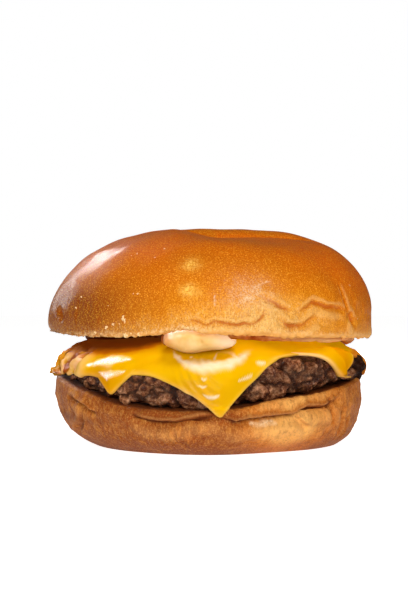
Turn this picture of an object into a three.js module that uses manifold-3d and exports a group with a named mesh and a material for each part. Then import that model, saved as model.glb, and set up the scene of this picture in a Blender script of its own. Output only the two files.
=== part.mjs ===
// A cheeseburger: heel, patty, two draped cheese slices, sauce and crown, each one closed solid.
// Millimetres, +Z up. The origin is on the table under the middle of the bun; the front is -Y.
import * as THREE from "three";
import { mergeVertices } from "three/addons/utils/BufferGeometryUtils.js";
import Module from "manifold-3d";

// ---------------------------------------------------------------- driving dimensions
const BUN_WIDTH = 110;
const BUN_HEIGHT = 73.2;
const CHEESE_SIDE = 86;
const CHEESE_THICKNESS = 2.2;
const CHEESE_CORNER = 2.5; // corner radius of a slice
const GAP = 0.35; // clearance between neighbouring pieces
const SHEET_GAP = 0.55; // clearance under a draped slice, wider because its facets are long

const BEARINGS = 40; // facets round the burger
const FULL_TURN = 2 * Math.PI;
const DEGREE = Math.PI / 180;

// Values round the burger are given every 30 degrees, counter-clockwise from +X: right, back, left, front.
// A rim is the height of a piece's edge.
const CROWN_RADIUS = around([
  1, 0.994, 0.992, 1, 0.992, 0.996, 1, 0.99, 0.992, 1, 0.996, 0.994,
].map((share) => (share * BUN_WIDTH) / 2));
const CROWN_RIM = around([36.2, 36.8, 37.2, 37.2, 37, 36.8, 36.6, 36.9, 37.3, 38.3, 37.2, 36.5]);
const CROWN_SHOULDER = around([44, 44.4, 44.6, 44, 43.2, 42.4, 41.8, 42.2, 43, 44, 44, 44]);
const CROWN_FLAT = 0.25; // share of the radius that is nearly level on top
const CROWN_FLAT_DROP = 0.35; // fall of the level part from its middle to its edge
// Squareness of the shoulder's curve, where 2 is an ellipse.
const CROWN_FULLNESS = around([2.12, 2.1, 2.06, 2, 1.98, 1.97, 1.96, 1.97, 1.98, 2, 2.06, 2.1]);
const CROWN_LEAN = 1.6; // how far the top's middle lies towards +X
const CROWN_UNDERSIDE_MIDDLE = 39.6;
const CROWN_EDGE_ROUND = 2.4;

const HEEL_RADIUS = around([51.4, 51.1, 50.7, 50.6, 51, 51.8, 52.5, 51.8, 51.2, 51.5, 51.5, 51.4]);
const HEEL_BASE = around([43.4, 41.5, 40, 39, 38.5, 38.8, 39, 38, 37.6, 38.4, 36.6, 40]);
const HEEL_RIM = around([23.3, 22.4, 21, 20.2, 21, 22.4, 23.3, 20.8, 15.3, 14.6, 18.3, 21.8]);
const HEEL_BELLY = around([15, 15, 15, 15, 15.5, 16.4, 17, 16, 12, 12, 13.5, 14.5]); // widest height
const HEEL_MIDDLE = 17; // height of the cut face at its centre
const HEEL_EDGE_ROUND = 1.6;

const PATTY_RADIUS = around([49.6, 49.4, 49.2, 49, 49.2, 49.5, 49.8, 49.4, 49.4, 49.3, 48.6, 47.4]);
const PATTY_RIM = around([28.4, 29.2, 29.4, 29, 28.6, 27.6, 27, 26.4, 25.8, 26.8, 29.3, 29.6]);
const PATTY_CHUNK = { bearing: -6 * DEGREE, spread: 13 * DEGREE, out: 2.6 }; // lump at the right end
const PATTY_MIDDLE = 32.4;
const PATTY_EDGE_ROUND = 3.4;

// Each slice: middle of the flat square, its turn from edges along X and Y, and its share of the sag.
const LOWER_SLICE = { x: -0.5, y: 5.5, turn: 11.6 * DEGREE, sag: 0 };
const UPPER_SLICE = { x: -3.2, y: -3, turn: 51.5 * DEGREE, sag: 1 };
const BEND_RADIUS = 4.2; // how tightly a slice turns over the patty's edge
const HANG = around([84, 80, 76, 76, 76, 76, 78, 76, 80, 83, 82, 82].map((deg) => deg * DEGREE));
// Share of its length that a slice keeps past the bend: under 1 where it is rucked up.
const GATHER = around([0.88, 1, 1, 1, 0.9, 0.62, 0.36, 0.72, 1, 1, 1, 0.78]);
// Stretch of a melted edge: its bearing, its spread, how far it goes, and the flat radii where it starts
// and where it is stretched in full.
const SAG = { bearing: -139 * DEGREE, spread: 19 * DEGREE, out: 3.3, from: 36, to: 48 };

const SAUCE_RADIUS = around([49.4, 47, 45, 44, 44, 43.6, 42.6, 39, 34, 33, 42, 47.2]);
const SAUCE_MOST = 3.4; // most that the pressed layer fills of the space over the cheese

// The dollop at the front: its middle, its half extents across, in depth and upright, and its squareness.
const DOLLOP = { x: -3.1, y: -42.6, z: 36.1, across: 11.4, deep: 8.2, high: 4.4, squareness: 2.6 };
const DOLLOP_TAPER = 0.32; // share by which its right end is narrower than its left
const DOLLOP_CLEAR = 1.4; // over the cheese, whose facets are long here

// Creases in the heel's wall, each with a lip over it: bearing, half spread, lip height and depth.
const HEEL_CREASES = [
  { bearing: -64 * DEGREE, spread: 36 * DEGREE, lip: 5.8, depth: 2.6 },
  { bearing: -112 * DEGREE, spread: 20 * DEGREE, lip: 3.2, depth: 1.8 },
  { bearing: 96 * DEGREE, spread: 42 * DEGREE, lip: 4.6, depth: 2.2 },
];
const CREASE_WIDTH = 1.1;

// Shallow valley across the crown's top, from left to right.
const VALLEY = { y: -6, x: 20, length: 30, width: 7, depth: 1.4 };

// ---------------------------------------------------------------- shape helpers
// A smooth closed curve through values at equal bearings, the first at +X.
function around(values) {
  const n = values.length;
  return (bearing) => {
    const at = (((bearing / FULL_TURN) % 1) + 1) % 1 * n;
    const i = Math.floor(at);
    const f = at - i;
    const [a, b, c, d] = [-1, 0, 1, 2].map((k) => values[(i + k + n) % n]);
    return b + 0.5 * f * (c - a + f * (2 * a - 5 * b + 4 * c - d + f * (3 * (b - c) + d - a)));
  };
}

function smooth(low, high, value) {
  return THREE.MathUtils.smoothstep(value, low, high);
}

function bell(distance, width) {
  return Math.exp(-((distance / width) ** 2));
}

// Angle from one bearing to another, between half a turn back and half a turn on.
function turnTo(from, to) {
  return THREE.MathUtils.euclideanModulo(to - from + Math.PI, FULL_TURN) - Math.PI;
}

// A solid from its section: a sphere whose every vertex goes to section(bearing, t) = [radius, height],
// with t from 0 at the top's middle to 1 at the underside's middle.
function fromSections(section, stations) {
  const geometry = new THREE.SphereGeometry(1, BEARINGS, stations);
  geometry.rotateX(Math.PI / 2);
  geometry.deleteAttribute("uv");
  geometry.deleteAttribute("normal");
  const merged = mergeVertices(geometry, 1e-4);
  const place = merged.getAttribute("position");
  for (let i = 0; i < place.count; i++) {
    const [x, y, z] = [place.getX(i), place.getY(i), place.getZ(i)];
    const bearing = Math.atan2(y, x);
    const [radius, height] = section(bearing, Math.acos(THREE.MathUtils.clamp(z, -1, 1)) / Math.PI);
    place.setXYZ(i, radius * Math.cos(bearing), radius * Math.sin(bearing), height);
  }
  return merged;
}

// Splits t into stretches that end at the given shares, and says which stretch t is in and how far along.
function stretchOf(t, ends) {
  const i = ends.findIndex((end) => t <= end + 1e-9);
  const start = i ? ends[i - 1] : 0;
  return [i, (t - start) / (ends[i] - start)];
}

// ---------------------------------------------------------------- surfaces that pieces share
function heelTop(bearing, radius) {
  const share = radius / HEEL_RADIUS(bearing);
  return HEEL_MIDDLE + (HEEL_RIM(bearing) - HEEL_MIDDLE) * share ** 2.4;
}

function pattyRadius(bearing) {
  const away = turnTo(PATTY_CHUNK.bearing, bearing);
  return PATTY_RADIUS(bearing) + PATTY_CHUNK.out * bell(away, PATTY_CHUNK.spread);
}

function pattyTop(bearing, radius) {
  const share = Math.min(1, radius / pattyRadius(bearing));
  return PATTY_MIDDLE + (PATTY_RIM(bearing) - PATTY_MIDDLE) * share ** 2.2;
}

function crownUnderside(bearing, radius) {
  const share = radius / CROWN_RADIUS(bearing);
  return CROWN_UNDERSIDE_MIDDLE + (CROWN_RIM(bearing) - CROWN_UNDERSIDE_MIDDLE) * share ** 2;
}

// Where a point of a sheet lies when the sheet is draped over the patty: [radius, height, tilt of its face].
// Inside the bend it lies on the patty; over the bend it turns down through an arc, and then hangs straight.
function drape(bearing, flatRadius) {
  const bendStart = pattyRadius(bearing) - BEND_RADIUS + 1.2;
  const along = Math.min(flatRadius, bendStart) + GATHER(bearing) * Math.max(0, flatRadius - bendStart);
  const slope = pattyTop(bearing, bendStart) - pattyTop(bearing, bendStart - 1);
  const startTilt = Math.atan(-slope);
  if (along <= bendStart) {
    const rise = pattyTop(bearing, along + 0.5) - pattyTop(bearing, Math.max(0, along - 0.5));
    return [along, pattyTop(bearing, along), Math.atan(-rise) * smooth(0, 6, along)];
  }
  const turned = Math.min((along - bendStart) / BEND_RADIUS, HANG(bearing) - startTilt);
  const tilt = startTilt + turned;
  const straight = along - bendStart - turned * BEND_RADIUS;
  const out = BEND_RADIUS * (Math.sin(tilt) - Math.sin(startTilt)) + straight * Math.cos(tilt);
  const down = BEND_RADIUS * (Math.cos(startTilt) - Math.cos(tilt)) + straight * Math.sin(tilt);
  return [bendStart + out, pattyTop(bearing, bendStart) - down, tilt];
}

// How far a flat point is outside a slice's square; negative inside.
function outside(slice, x, y) {
  const [dx, dy] = [x - slice.x, y - slice.y];
  const along = Math.abs(dx * Math.cos(slice.turn) + dy * Math.sin(slice.turn));
  const across = Math.abs(dy * Math.cos(slice.turn) - dx * Math.sin(slice.turn));
  return Math.max(along, across) - CHEESE_SIDE / 2;
}

// Flat radius of a slice's point once its melted edge has sagged.
function sagged(slice, bearing, flatRadius) {
  const share = slice.sag * bell(turnTo(SAG.bearing, bearing), SAG.spread);
  return flatRadius + SAG.out * share * smooth(SAG.from, SAG.to, flatRadius);
}

// Height of a slice's lower face above the patty: the upper slice rides up over the lower one.
function liftOf(slice, x, y) {
  if (slice === LOWER_SLICE) return SHEET_GAP;
  return SHEET_GAP + (CHEESE_THICKNESS + SHEET_GAP) * (1 - smooth(2.4, 7, outside(LOWER_SLICE, x, y)));
}

// Height of the cheese's top face over a point of the patty.
function cheeseTop(bearing, radius) {
  const [x, y] = [radius * Math.cos(bearing), radius * Math.sin(bearing)];
  const lift = liftOf(UPPER_SLICE, x, y) + CHEESE_THICKNESS;
  return drape(bearing, radius)[1] + lift;
}

// ---------------------------------------------------------------- pieces
// A point of the crown's dome, with f from 0 at the middle of its top to 1 at the shoulder.
function domePoint(bearing, f) {
  const radius = CROWN_RADIUS(bearing);
  const shoulder = CROWN_SHOULDER(bearing);
  const power = 2 / CROWN_FULLNESS(bearing);
  const level = Math.min(1, f / CROWN_FLAT);
  const turn = Math.max(0, (f - CROWN_FLAT) / (1 - CROWN_FLAT)) * (Math.PI / 2);
  const rise = Math.cos(turn) ** power;
  const r = radius * (CROWN_FLAT * level + (1 - CROWN_FLAT) * Math.sin(turn) ** power);
  const levelDrop = CROWN_FLAT_DROP * (1 - level ** 2);
  const z = shoulder + (BUN_HEIGHT - CROWN_FLAT_DROP - shoulder) * rise + levelDrop;
  const [x, y] = [r * Math.cos(bearing), r * Math.sin(bearing)];
  const dip = VALLEY.depth * bell(y - VALLEY.y, VALLEY.width) * bell(x - VALLEY.x, VALLEY.length);
  return [r + CROWN_LEAN * rise * level * Math.cos(bearing), z - dip];
}

function crown() {
  const ends = [0.56, 0.68, 1];
  const sideShare = 0.35; // share of the rim's stretch that is plain side wall, above the rounded edge
  return fromSections((bearing, t) => {
    const [stretch, f] = stretchOf(t, ends);
    if (stretch === 0) return domePoint(bearing, f);
    const radius = CROWN_RADIUS(bearing);
    if (stretch === 1) {
      const [shoulder, roundTop] = [CROWN_SHOULDER(bearing), CROWN_RIM(bearing) + CROWN_EDGE_ROUND];
      const turn = smooth(sideShare, 1, f) * (Math.PI / 2);
      const side = shoulder + (roundTop - shoulder) * Math.min(1, f / sideShare);
      return [radius - CROWN_EDGE_ROUND * (1 - Math.cos(turn)), side - CROWN_EDGE_ROUND * Math.sin(turn)];
    }
    const inner = (radius - CROWN_EDGE_ROUND) * (1 - f);
    return [inner, crownUnderside(bearing, inner)];
  }, 16);
}

// The heel's wall at a height, with its creases pressed in and their lips pushed out.
function heelWall(bearing, height) {
  const rim = HEEL_RIM(bearing);
  const widest = HEEL_RADIUS(bearing);
  const belly = Math.min(HEEL_BELLY(bearing), rim - 3);
  const under = Math.max(0, 1 - height / belly);
  const over = Math.max(0, (height - belly) / (rim - belly));
  const tuck = 0.36 * under + 0.64 * under ** 4;
  let radius = widest - (widest - HEEL_BASE(bearing)) * tuck - 0.8 * over ** 2;
  for (const crease of HEEL_CREASES) {
    const share = Math.max(0, 1 - (turnTo(crease.bearing, bearing) / crease.spread) ** 2);
    const lip = 1.2 + (crease.lip - 1.2) * share;
    const depth = crease.depth * Math.sqrt(share);
    const above = height - (rim - lip);
    radius -= depth * bell(above, CREASE_WIDTH);
    radius += 0.25 * depth * bell(above - lip / 2, lip / 3);
  }
  return radius;
}

function heel() {
  const ends = [0.3, 0.36, 0.8, 1];
  return fromSections((bearing, t) => {
    const [stretch, f] = stretchOf(t, ends);
    const rim = HEEL_RIM(bearing);
    const wallTop = rim - HEEL_EDGE_ROUND;
    const edge = heelWall(bearing, wallTop);
    if (stretch === 0) {
      const r = (edge - HEEL_EDGE_ROUND) * f;
      return [r, heelTop(bearing, r)];
    }
    if (stretch === 1) {
      const turn = (f * Math.PI) / 2;
      const start = heelTop(bearing, edge - HEEL_EDGE_ROUND);
      return [
        edge - HEEL_EDGE_ROUND * (1 - Math.sin(turn)),
        start - (start - wallTop) * (1 - Math.cos(turn)),
      ];
    }
    if (stretch === 2) {
      const height = wallTop * (1 - f) ** 1.25;
      return [heelWall(bearing, height), height];
    }
    return [HEEL_BASE(bearing) * (1 - f), 0];
  }, 24);
}

function patty() {
  const ends = [0.36, 0.5, 0.62, 1];
  return fromSections((bearing, t) => {
    const [stretch, f] = stretchOf(t, ends);
    const radius = pattyRadius(bearing);
    const flat = radius - PATTY_EDGE_ROUND;
    const top = pattyTop(bearing, flat);
    const bottom = heelTop(bearing, flat) + GAP;
    const middle = bottom + 0.45 * (top - bottom);
    if (stretch === 0) return [flat * f, pattyTop(bearing, flat * f)];
    if (stretch === 1) {
      const turn = (f * Math.PI) / 2;
      return [flat + PATTY_EDGE_ROUND * Math.sin(turn), middle + (top - middle) * Math.cos(turn)];
    }
    if (stretch === 2) {
      const turn = (f * Math.PI) / 2;
      return [flat + PATTY_EDGE_ROUND * Math.cos(turn), middle - (middle - bottom) * Math.sin(turn)];
    }
    const r = flat * (1 - f);
    return [r, heelTop(bearing, r) + GAP];
  }, 16);
}

function sauce() {
  const ends = [0.42, 0.62, 1];
  return fromSections((bearing, t) => {
    const [stretch, f] = stretchOf(t, ends);
    const reach = SAUCE_RADIUS(bearing);
    const bottomOf = (r) => cheeseTop(bearing, r) + GAP;
    const topOf = (r) => {
      const ceiling = crownUnderside(bearing, r) - GAP;
      return Math.max(bottomOf(r) + 0.4, Math.min(ceiling, bottomOf(r) + SAUCE_MOST));
    };
    const round = Math.min(2.4, (topOf(reach) - bottomOf(reach)) / 2 + 0.8);
    const flat = reach - round;
    if (stretch === 0) return [flat * f, topOf(flat * f)];
    if (stretch === 1) {
      const [top, bottom] = [topOf(flat), bottomOf(flat)];
      const turn = f * Math.PI;
      return [flat + round * Math.sin(turn), (top + bottom) / 2 + ((top - bottom) / 2) * Math.cos(turn)];
    }
    return [flat * (1 - f), bottomOf(flat * (1 - f))];
  }, 14);
}

// A thick blob pressed between the cheese and the crown, which bulges out at the front.
function dollop() {
  const geometry = new THREE.SphereGeometry(1, 20, 12);
  geometry.rotateX(Math.PI / 2);
  const place = geometry.getAttribute("position");
  const square = (value) => Math.sign(value) * Math.abs(value) ** (2 / DOLLOP.squareness);
  for (let i = 0; i < place.count; i++) {
    const [across, deep, high] = [place.getX(i), place.getY(i), place.getZ(i)].map(square);
    const taper = 1 - DOLLOP_TAPER * (0.5 + 0.5 * across);
    const x = DOLLOP.x + DOLLOP.across * across;
    const y = DOLLOP.y + DOLLOP.deep * deep * taper;
    const bearing = Math.atan2(y, x);
    const radius = Math.hypot(x, y);
    const floor = cheeseTop(bearing, radius) + DOLLOP_CLEAR;
    const ceiling = crownUnderside(bearing, radius) - GAP;
    const z = DOLLOP.z + DOLLOP.high * high * taper;
    place.setXYZ(i, x, y, Math.max(floor, radius < CROWN_RADIUS(bearing) ? Math.min(ceiling, z) : z));
  }
  geometry.deleteAttribute("uv");
  geometry.deleteAttribute("normal");
  return mergeVertices(geometry, 1e-4);
}

const wasm = await Module();
wasm.setup();

function toSolid(geometry) {
  geometry.deleteAttribute("uv");
  geometry.deleteAttribute("normal");
  const merged = mergeVertices(geometry, 1e-4);
  return new wasm.Manifold(
    new wasm.Mesh({
      numProp: 3,
      vertProperties: merged.getAttribute("position").array,
      triVerts: new Uint32Array(merged.index.array),
    }),
  );
}

function toGeometry(solid) {
  const mesh = solid.getMesh();
  const geometry = new THREE.BufferGeometry();
  geometry.setAttribute("position", new THREE.BufferAttribute(mesh.vertProperties, 3));
  geometry.setIndex(new THREE.BufferAttribute(mesh.triVerts, 1));
  return geometry;
}

// A square with round corners, as a prism that is taller than any sheet.
function squarePrism(slice) {
  const half = CHEESE_SIDE / 2;
  const inner = half - CHEESE_CORNER;
  const outline = new THREE.Shape();
  for (let quarter = 0; quarter < 4; quarter++) {
    const start = (quarter * Math.PI) / 2;
    const corner = new THREE.Vector2(inner, inner).rotateAround(new THREE.Vector2(), start);
    outline.absarc(corner.x, corner.y, CHEESE_CORNER, start, start + Math.PI / 2, false);
  }
  const [depth, below] = [30, 5];
  const prism = new THREE.ExtrudeGeometry(outline, { depth, bevelEnabled: false, curveSegments: 3 });
  prism.translate(0, 0, -below);
  prism.rotateZ(slice.turn);
  prism.translate(slice.x, slice.y, 0);
  return prism;
}

// A round sheet, close-meshed where the patty's edge will bend it, is cut to the slice's square and draped.
// It is cut as a shallow dish, because the cut would drop the inner vertices of a level sheet.
function cheeseSlice(slice) {
  const dishOf = (radius) => radius ** 2 / 400;
  const rings = [0, 14, 25, 32, 37, 41, 44, 46.5, 49, 51.5, 55, 60, 66, 73, 80];
  const top = rings.length - 1;
  const disc = fromSections((bearing, t) => {
    const station = Math.round(t * 2 * (top + 0.5));
    const upper = station <= top;
    const radius = rings[upper ? station : 2 * top + 1 - station];
    return [radius, dishOf(radius) + (upper ? CHEESE_THICKNESS : 0)];
  }, 2 * top + 1);
  const cut = toGeometry(toSolid(disc).intersect(toSolid(squarePrism(slice))));
  const place = cut.getAttribute("position");
  for (let i = 0; i < place.count; i++) {
    const [x, y] = [place.getX(i), place.getY(i)];
    const [bearing, cutRadius] = [Math.atan2(y, x), Math.hypot(x, y)];
    const height = THREE.MathUtils.clamp(place.getZ(i) - dishOf(cutRadius), 0, CHEESE_THICKNESS);
    const flat = sagged(slice, bearing, cutRadius);
    const [radius, level, tilt] = drape(bearing, flat);
    const lift = liftOf(slice, flat * Math.cos(bearing), flat * Math.sin(bearing)) + height;
    const z = level + lift * Math.cos(tilt);
    const clear = z < HEEL_RIM(bearing) + 1 ? HEEL_RADIUS(bearing) + 0.3 + GAP + height : 0;
    const reach = Math.max(clear, radius + lift * Math.sin(tilt));
    place.setXYZ(i, reach * Math.cos(bearing), reach * Math.sin(bearing), z);
  }
  return cut;
}

// ---------------------------------------------------------------- materials
const CRUST = new THREE.MeshStandardMaterial({ color: 0xc9701c, roughness: 0.4, metalness: 0 });
const SOFT_CRUST = new THREE.MeshStandardMaterial({ color: 0xc07a3e, roughness: 0.6, metalness: 0 });
const BEEF = new THREE.MeshStandardMaterial({ color: 0x3a2018, roughness: 0.5, metalness: 0 });
const CHEDDAR = new THREE.MeshStandardMaterial({ color: 0xf2a400, roughness: 0.3, metalness: 0 });
const BURGER_SAUCE = new THREE.MeshStandardMaterial({ color: 0xc98a56, roughness: 0.3, metalness: 0 });
const MAYONNAISE = new THREE.MeshStandardMaterial({ color: 0xf3d79a, roughness: 0.3, metalness: 0 });

// ---------------------------------------------------------------- assembly
const burger = new THREE.Group();

function add(name, geometry, material) {
  const mesh = new THREE.Mesh(geometry, material);
  mesh.name = name;
  burger.add(mesh);
}

add("heel", heel(), SOFT_CRUST);
add("patty", patty(), BEEF);
add("cheese_lower", cheeseSlice(LOWER_SLICE), CHEDDAR);
add("cheese_upper", cheeseSlice(UPPER_SLICE), CHEDDAR);
add("sauce", sauce(), BURGER_SAUCE);
add("dollop", dollop(), MAYONNAISE);
add("crown", crown(), CRUST);

export default burger;
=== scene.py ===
"""A cheeseburger in its finished looks: glazed crown, sauces, two melted slices, beef and heel.

Shapes are worked out in millimetres, with the front at -Y, and become metres when a piece is finished.
Apart from the crumbs, a piece is a sphere from bmesh whose vertices are moved to the piece's section at
each bearing, and are then pushed along their normals for folds, lumps and creases.
"""
import math
from types import SimpleNamespace

import bmesh
import bpy
import numpy as np
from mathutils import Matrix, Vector, noise


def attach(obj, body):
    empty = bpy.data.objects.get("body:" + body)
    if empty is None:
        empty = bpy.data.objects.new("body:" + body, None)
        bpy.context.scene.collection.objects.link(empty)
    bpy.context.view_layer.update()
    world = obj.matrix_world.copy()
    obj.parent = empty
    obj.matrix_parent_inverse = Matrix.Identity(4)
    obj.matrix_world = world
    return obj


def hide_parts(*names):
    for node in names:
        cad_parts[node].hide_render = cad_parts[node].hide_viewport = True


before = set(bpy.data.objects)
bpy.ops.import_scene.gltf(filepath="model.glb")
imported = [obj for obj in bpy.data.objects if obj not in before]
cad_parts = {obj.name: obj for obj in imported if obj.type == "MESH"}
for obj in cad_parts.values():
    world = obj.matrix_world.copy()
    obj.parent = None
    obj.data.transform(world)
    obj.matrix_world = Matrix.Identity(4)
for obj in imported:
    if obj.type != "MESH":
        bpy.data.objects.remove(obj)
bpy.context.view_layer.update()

MM = 0.001
FRONT = math.radians(-90)

# ------------------------------------------------------------------ dimensions, as in the part's source
BUN_WIDTH = 110
BUN_HEIGHT = 73.2
CHEESE_SIDE = 86
CHEESE_THICKNESS = 2.2
GAP = 0.35  # clearance between neighbouring pieces
SHEET_GAP = 0.55  # clearance under a draped slice


def spline(a, b, c, d, f):
    """A smooth way from b, where f is 0, to c, where it is 1, between the values before and after."""
    return b + 0.5 * f * (c - a + f * (2 * a - 5 * b + 4 * c - d + f * (3 * (b - c) + d - a)))


def around(values):
    """A smooth closed curve through values at equal bearings, the first at +X, counter-clockwise."""
    values = np.array(values, float)
    count = len(values)

    def at(bearing):
        step = np.mod(bearing / (2 * math.pi), 1) * count
        start = np.floor(step).astype(int)
        return spline(*(values[(start + k) % count] for k in (-1, 0, 1, 2)), step - start)

    return at


def degrees(values):
    return [math.radians(value) for value in values]


CROWN_SHARES = [1, 0.994, 0.992, 1, 0.992, 0.996, 1, 0.99, 0.992, 1, 0.996, 0.994]
CROWN_RADIUS = around([share * BUN_WIDTH / 2 for share in CROWN_SHARES])
CROWN_RIM = around([36.2, 36.8, 37.2, 37.2, 37, 36.8, 36.6, 36.9, 37.3, 38.3, 37.2, 36.5])
CROWN_SHOULDER = around([44, 44.4, 44.6, 44, 43.2, 42.4, 41.8, 42.2, 43, 44, 44, 44])
CROWN_FLAT = 0.25  # share of the radius that is nearly level on top
CROWN_FLAT_DROP = 0.35  # fall of the level part from its middle to its edge
CROWN_FULLNESS = around([2.12, 2.1, 2.06, 2, 1.98, 1.97, 1.96, 1.97, 1.98, 2, 2.06, 2.1])
CROWN_LEAN = 1.6  # how far the top's middle lies towards +X
CROWN_UNDERSIDE_MIDDLE = 39.6

HEEL_RADIUS = around([51.4, 51.1, 50.7, 50.6, 51, 51.8, 52.5, 51.8, 51.2, 51.5, 51.5, 51.4])
HEEL_BASE = around([43.4, 41.5, 40, 39, 38.5, 38.8, 39, 38, 37.6, 38.4, 36.6, 40])
HEEL_RIM = around([23.3, 22.4, 21, 20.2, 21, 22.4, 23.3, 20.8, 15.3, 14.6, 18.3, 21.8])
HEEL_BELLY = around([15, 15, 15, 15, 15.5, 16.4, 17, 16, 12, 12, 13.5, 14.5])  # widest height
HEEL_MIDDLE = 17  # height of the cut face at its centre
HEEL_EDGE_ROUND = 1.6

PATTY_RADIUS = around([49.6, 49.4, 49.2, 49, 49.2, 49.5, 49.8, 49.4, 49.4, 49.3, 48.6, 47.4])
PATTY_RIM = around([28.4, 29.2, 29.4, 29, 28.6, 27.6, 27, 26.4, 25.8, 26.8, 29.3, 29.6])
PATTY_CHUNK = {"bearing": -6, "spread": 13, "out": 2.6}  # a lump at the right end, in degrees and mm
PATTY_MIDDLE = 32.4
PATTY_EDGE_ROUND = 3.4

LOWER_SLICE = {"x": -0.5, "y": 5.5, "turn": math.radians(11.6), "sag": 0}
UPPER_SLICE = {"x": -3.2, "y": -3, "turn": math.radians(51.5), "sag": 1}
SAG = {"bearing": -139, "spread": 19, "out": 3.3, "from": 36, "to": 48}
BEND_RADIUS = 4.2  # how tightly a slice turns over the patty's edge
HANG = around(degrees([84, 80, 76, 76, 76, 76, 78, 76, 80, 83, 82, 82]))
GATHER = around([0.88, 1, 1, 1, 0.9, 0.62, 0.36, 0.72, 1, 1, 1, 0.78])

SAUCE_RADIUS = around([49.4, 47, 45, 44, 44, 43.6, 42.6, 39, 34, 33, 42, 47.2])
SAUCE_MOST = 3.4  # most that the pressed layer fills of the space over the cheese
DOLLOP = {"x": -3.1, "y": -42.6, "z": 36.1, "across": 11.4, "deep": 8.2, "high": 4.4}

# ------------------------------------------------------------------ dimensions of the finished surfaces
# Faces of each piece's mesh: round it, and from the middle of its top to the middle of its underside.
BREAD_GRID = (440, 220)
PATTY_GRID = (640, 150)
CHEESE_GRID = (410, 236)
SAUCE_GRID = (300, 90)
DOLLOP_GRID = (180, 110)

# Radii at which bearings become mm along a wall.
CROWN_REACH = 54
HEEL_REACH = 50.5
CHEESE_REACH = 50.5
FOLD_REACH = 48
SPOT_REACH = 50

CROWN_EDGE_ROUND = 1.3
# The hollow in the front of the crown's top, and the crease at its back: where across the burger and
# forward of its middle they start, are full, start to fade and end.
CROWN_HOLLOW = {"depth": 3.2, "across": (-14, 3, 14, 46), "forward": (-2, 6.5, 22, 44)}
CROWN_VALLEY = {"depth": 1.3, "y": -4.6, "width": 1.9, "across": (-16, 2, 18, 42)}
CROWN_BAND = around([37, 42, 46, 46, 46, 44, 41, 38, 38, 45, 47.6, 41])  # height where the crust browns
CROWN_BAKE_STEPS = ([-7, 0, 5, 12, 27], [0, 0.15, 0.46, 0.68, 1])  # height over that, and how brown
CROWN_GLOW = {"bearing": -97, "heights": (59.3, 51.6), "flatness": 1.4}  # two painted golden highlights

# How dark the heel's skin is round it, 0 to 1: partly its browning and partly painted shade, darkest at
# the front and front left, and palest at the front right, where the light falls.
HEEL_BAKE = around([0.7, 0.5, 0.5, 0.5, 0.55, 0.6, 0.75, 0.85, 1.0, 1.0, 0.1, 0.7])

CHEESE_EDGE = 0.05  # share of a slice's stations that are on its rounded cut edge
CHEESE_EDGE_ROUND = 0.7
MELTED_IN = 1.0  # how deep the border of the upper slice has sunk into the lower one, less on the left
SLIP = {"turn": math.radians(-2.4), "rise": 1.1}  # how the lower slice's right tip has moved

# ------------------------------------------------------------------ creases: (bearing in degrees, height)
CROWN_WRINKLES = [
    {"depth": 1.1, "width": 0.65,
     "path": [(-74.6, 49.9), (-72, 49.2), (-69, 47.9), (-66.5, 46.4), (-63.6, 45)]},
    {"depth": 0.85, "width": 0.6,
     "path": [(-61, 44.6), (-57, 46.8), (-53.7, 48.1), (-50.5, 47), (-47.5, 46.5), (-42.5, 46.2),
              (-38, 45.2)]},
    {"depth": 1.05, "width": 0.7,
     "path": [(-69.6, 45.4), (-67.6, 43.4), (-65.4, 41.4), (-62.8, 40.6), (-59.3, 40.8), (-56, 42.2),
              (-53, 44)]},
    {"depth": 0.55, "width": 0.55,
     "path": [(-97.5, 42), (-94.5, 42.4), (-91.7, 41.2), (-88, 42), (-82, 41.1), (-79, 41.8),
              (-75.7, 41.7), (-73.4, 43.2), (-72, 46.8)]},
    {"depth": 0.5, "width": 0.4, "path": [(-37.4, 42.8), (-37.6, 45.4), (-38.8, 48.4), (-40, 53.6)]},
    {"depth": 0.9, "width": 0.8, "path": [(-36.5, 44.6), (-34.6, 44), (-33.5, 42.6), (-31.5, 41.9)]},
]
# A dent at the left end of the crown's side, darkened as painted shade.
CROWN_PIT = [(-158.5, 46), (-155, 44.4), (-150.8, 41.8)]
# Shallow upright creases in the shade at the left, darkened as painted shade.
CROWN_STREAKS = [
    [(-141.5, 50.4), (-141, 46.4), (-141.4, 42.6), (-140.8, 40.6)],
    [(-129.6, 45.6), (-128.6, 43), (-128.2, 40.8)],
    [(-135.6, 48.6), (-135, 46), (-135.3, 43.8)],
]
# Painted sheen, a pale patch and streaks where the crust catches the light: (bearing in degrees,
# height, half width).
CROWN_HAZE = [
    [(-81.5, 47.6, 1.4), (-79, 48.8, 2.6), (-76.5, 50.2, 3), (-74.2, 52.2, 2.6), (-72.4, 54.4, 1.4)],
    [(-88.6, 50, 0.3), (-88.5, 48.2, 0.45), (-88.5, 46.4, 0.3)],
    [(-73.1, 54.4, 0.3), (-71.3, 54.3, 0.5), (-69.5, 54.1, 0.3)],
    [(-73.7, 50.8, 0.3), (-71.3, 51, 0.5), (-68.9, 50.4, 0.3)],
]
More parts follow.
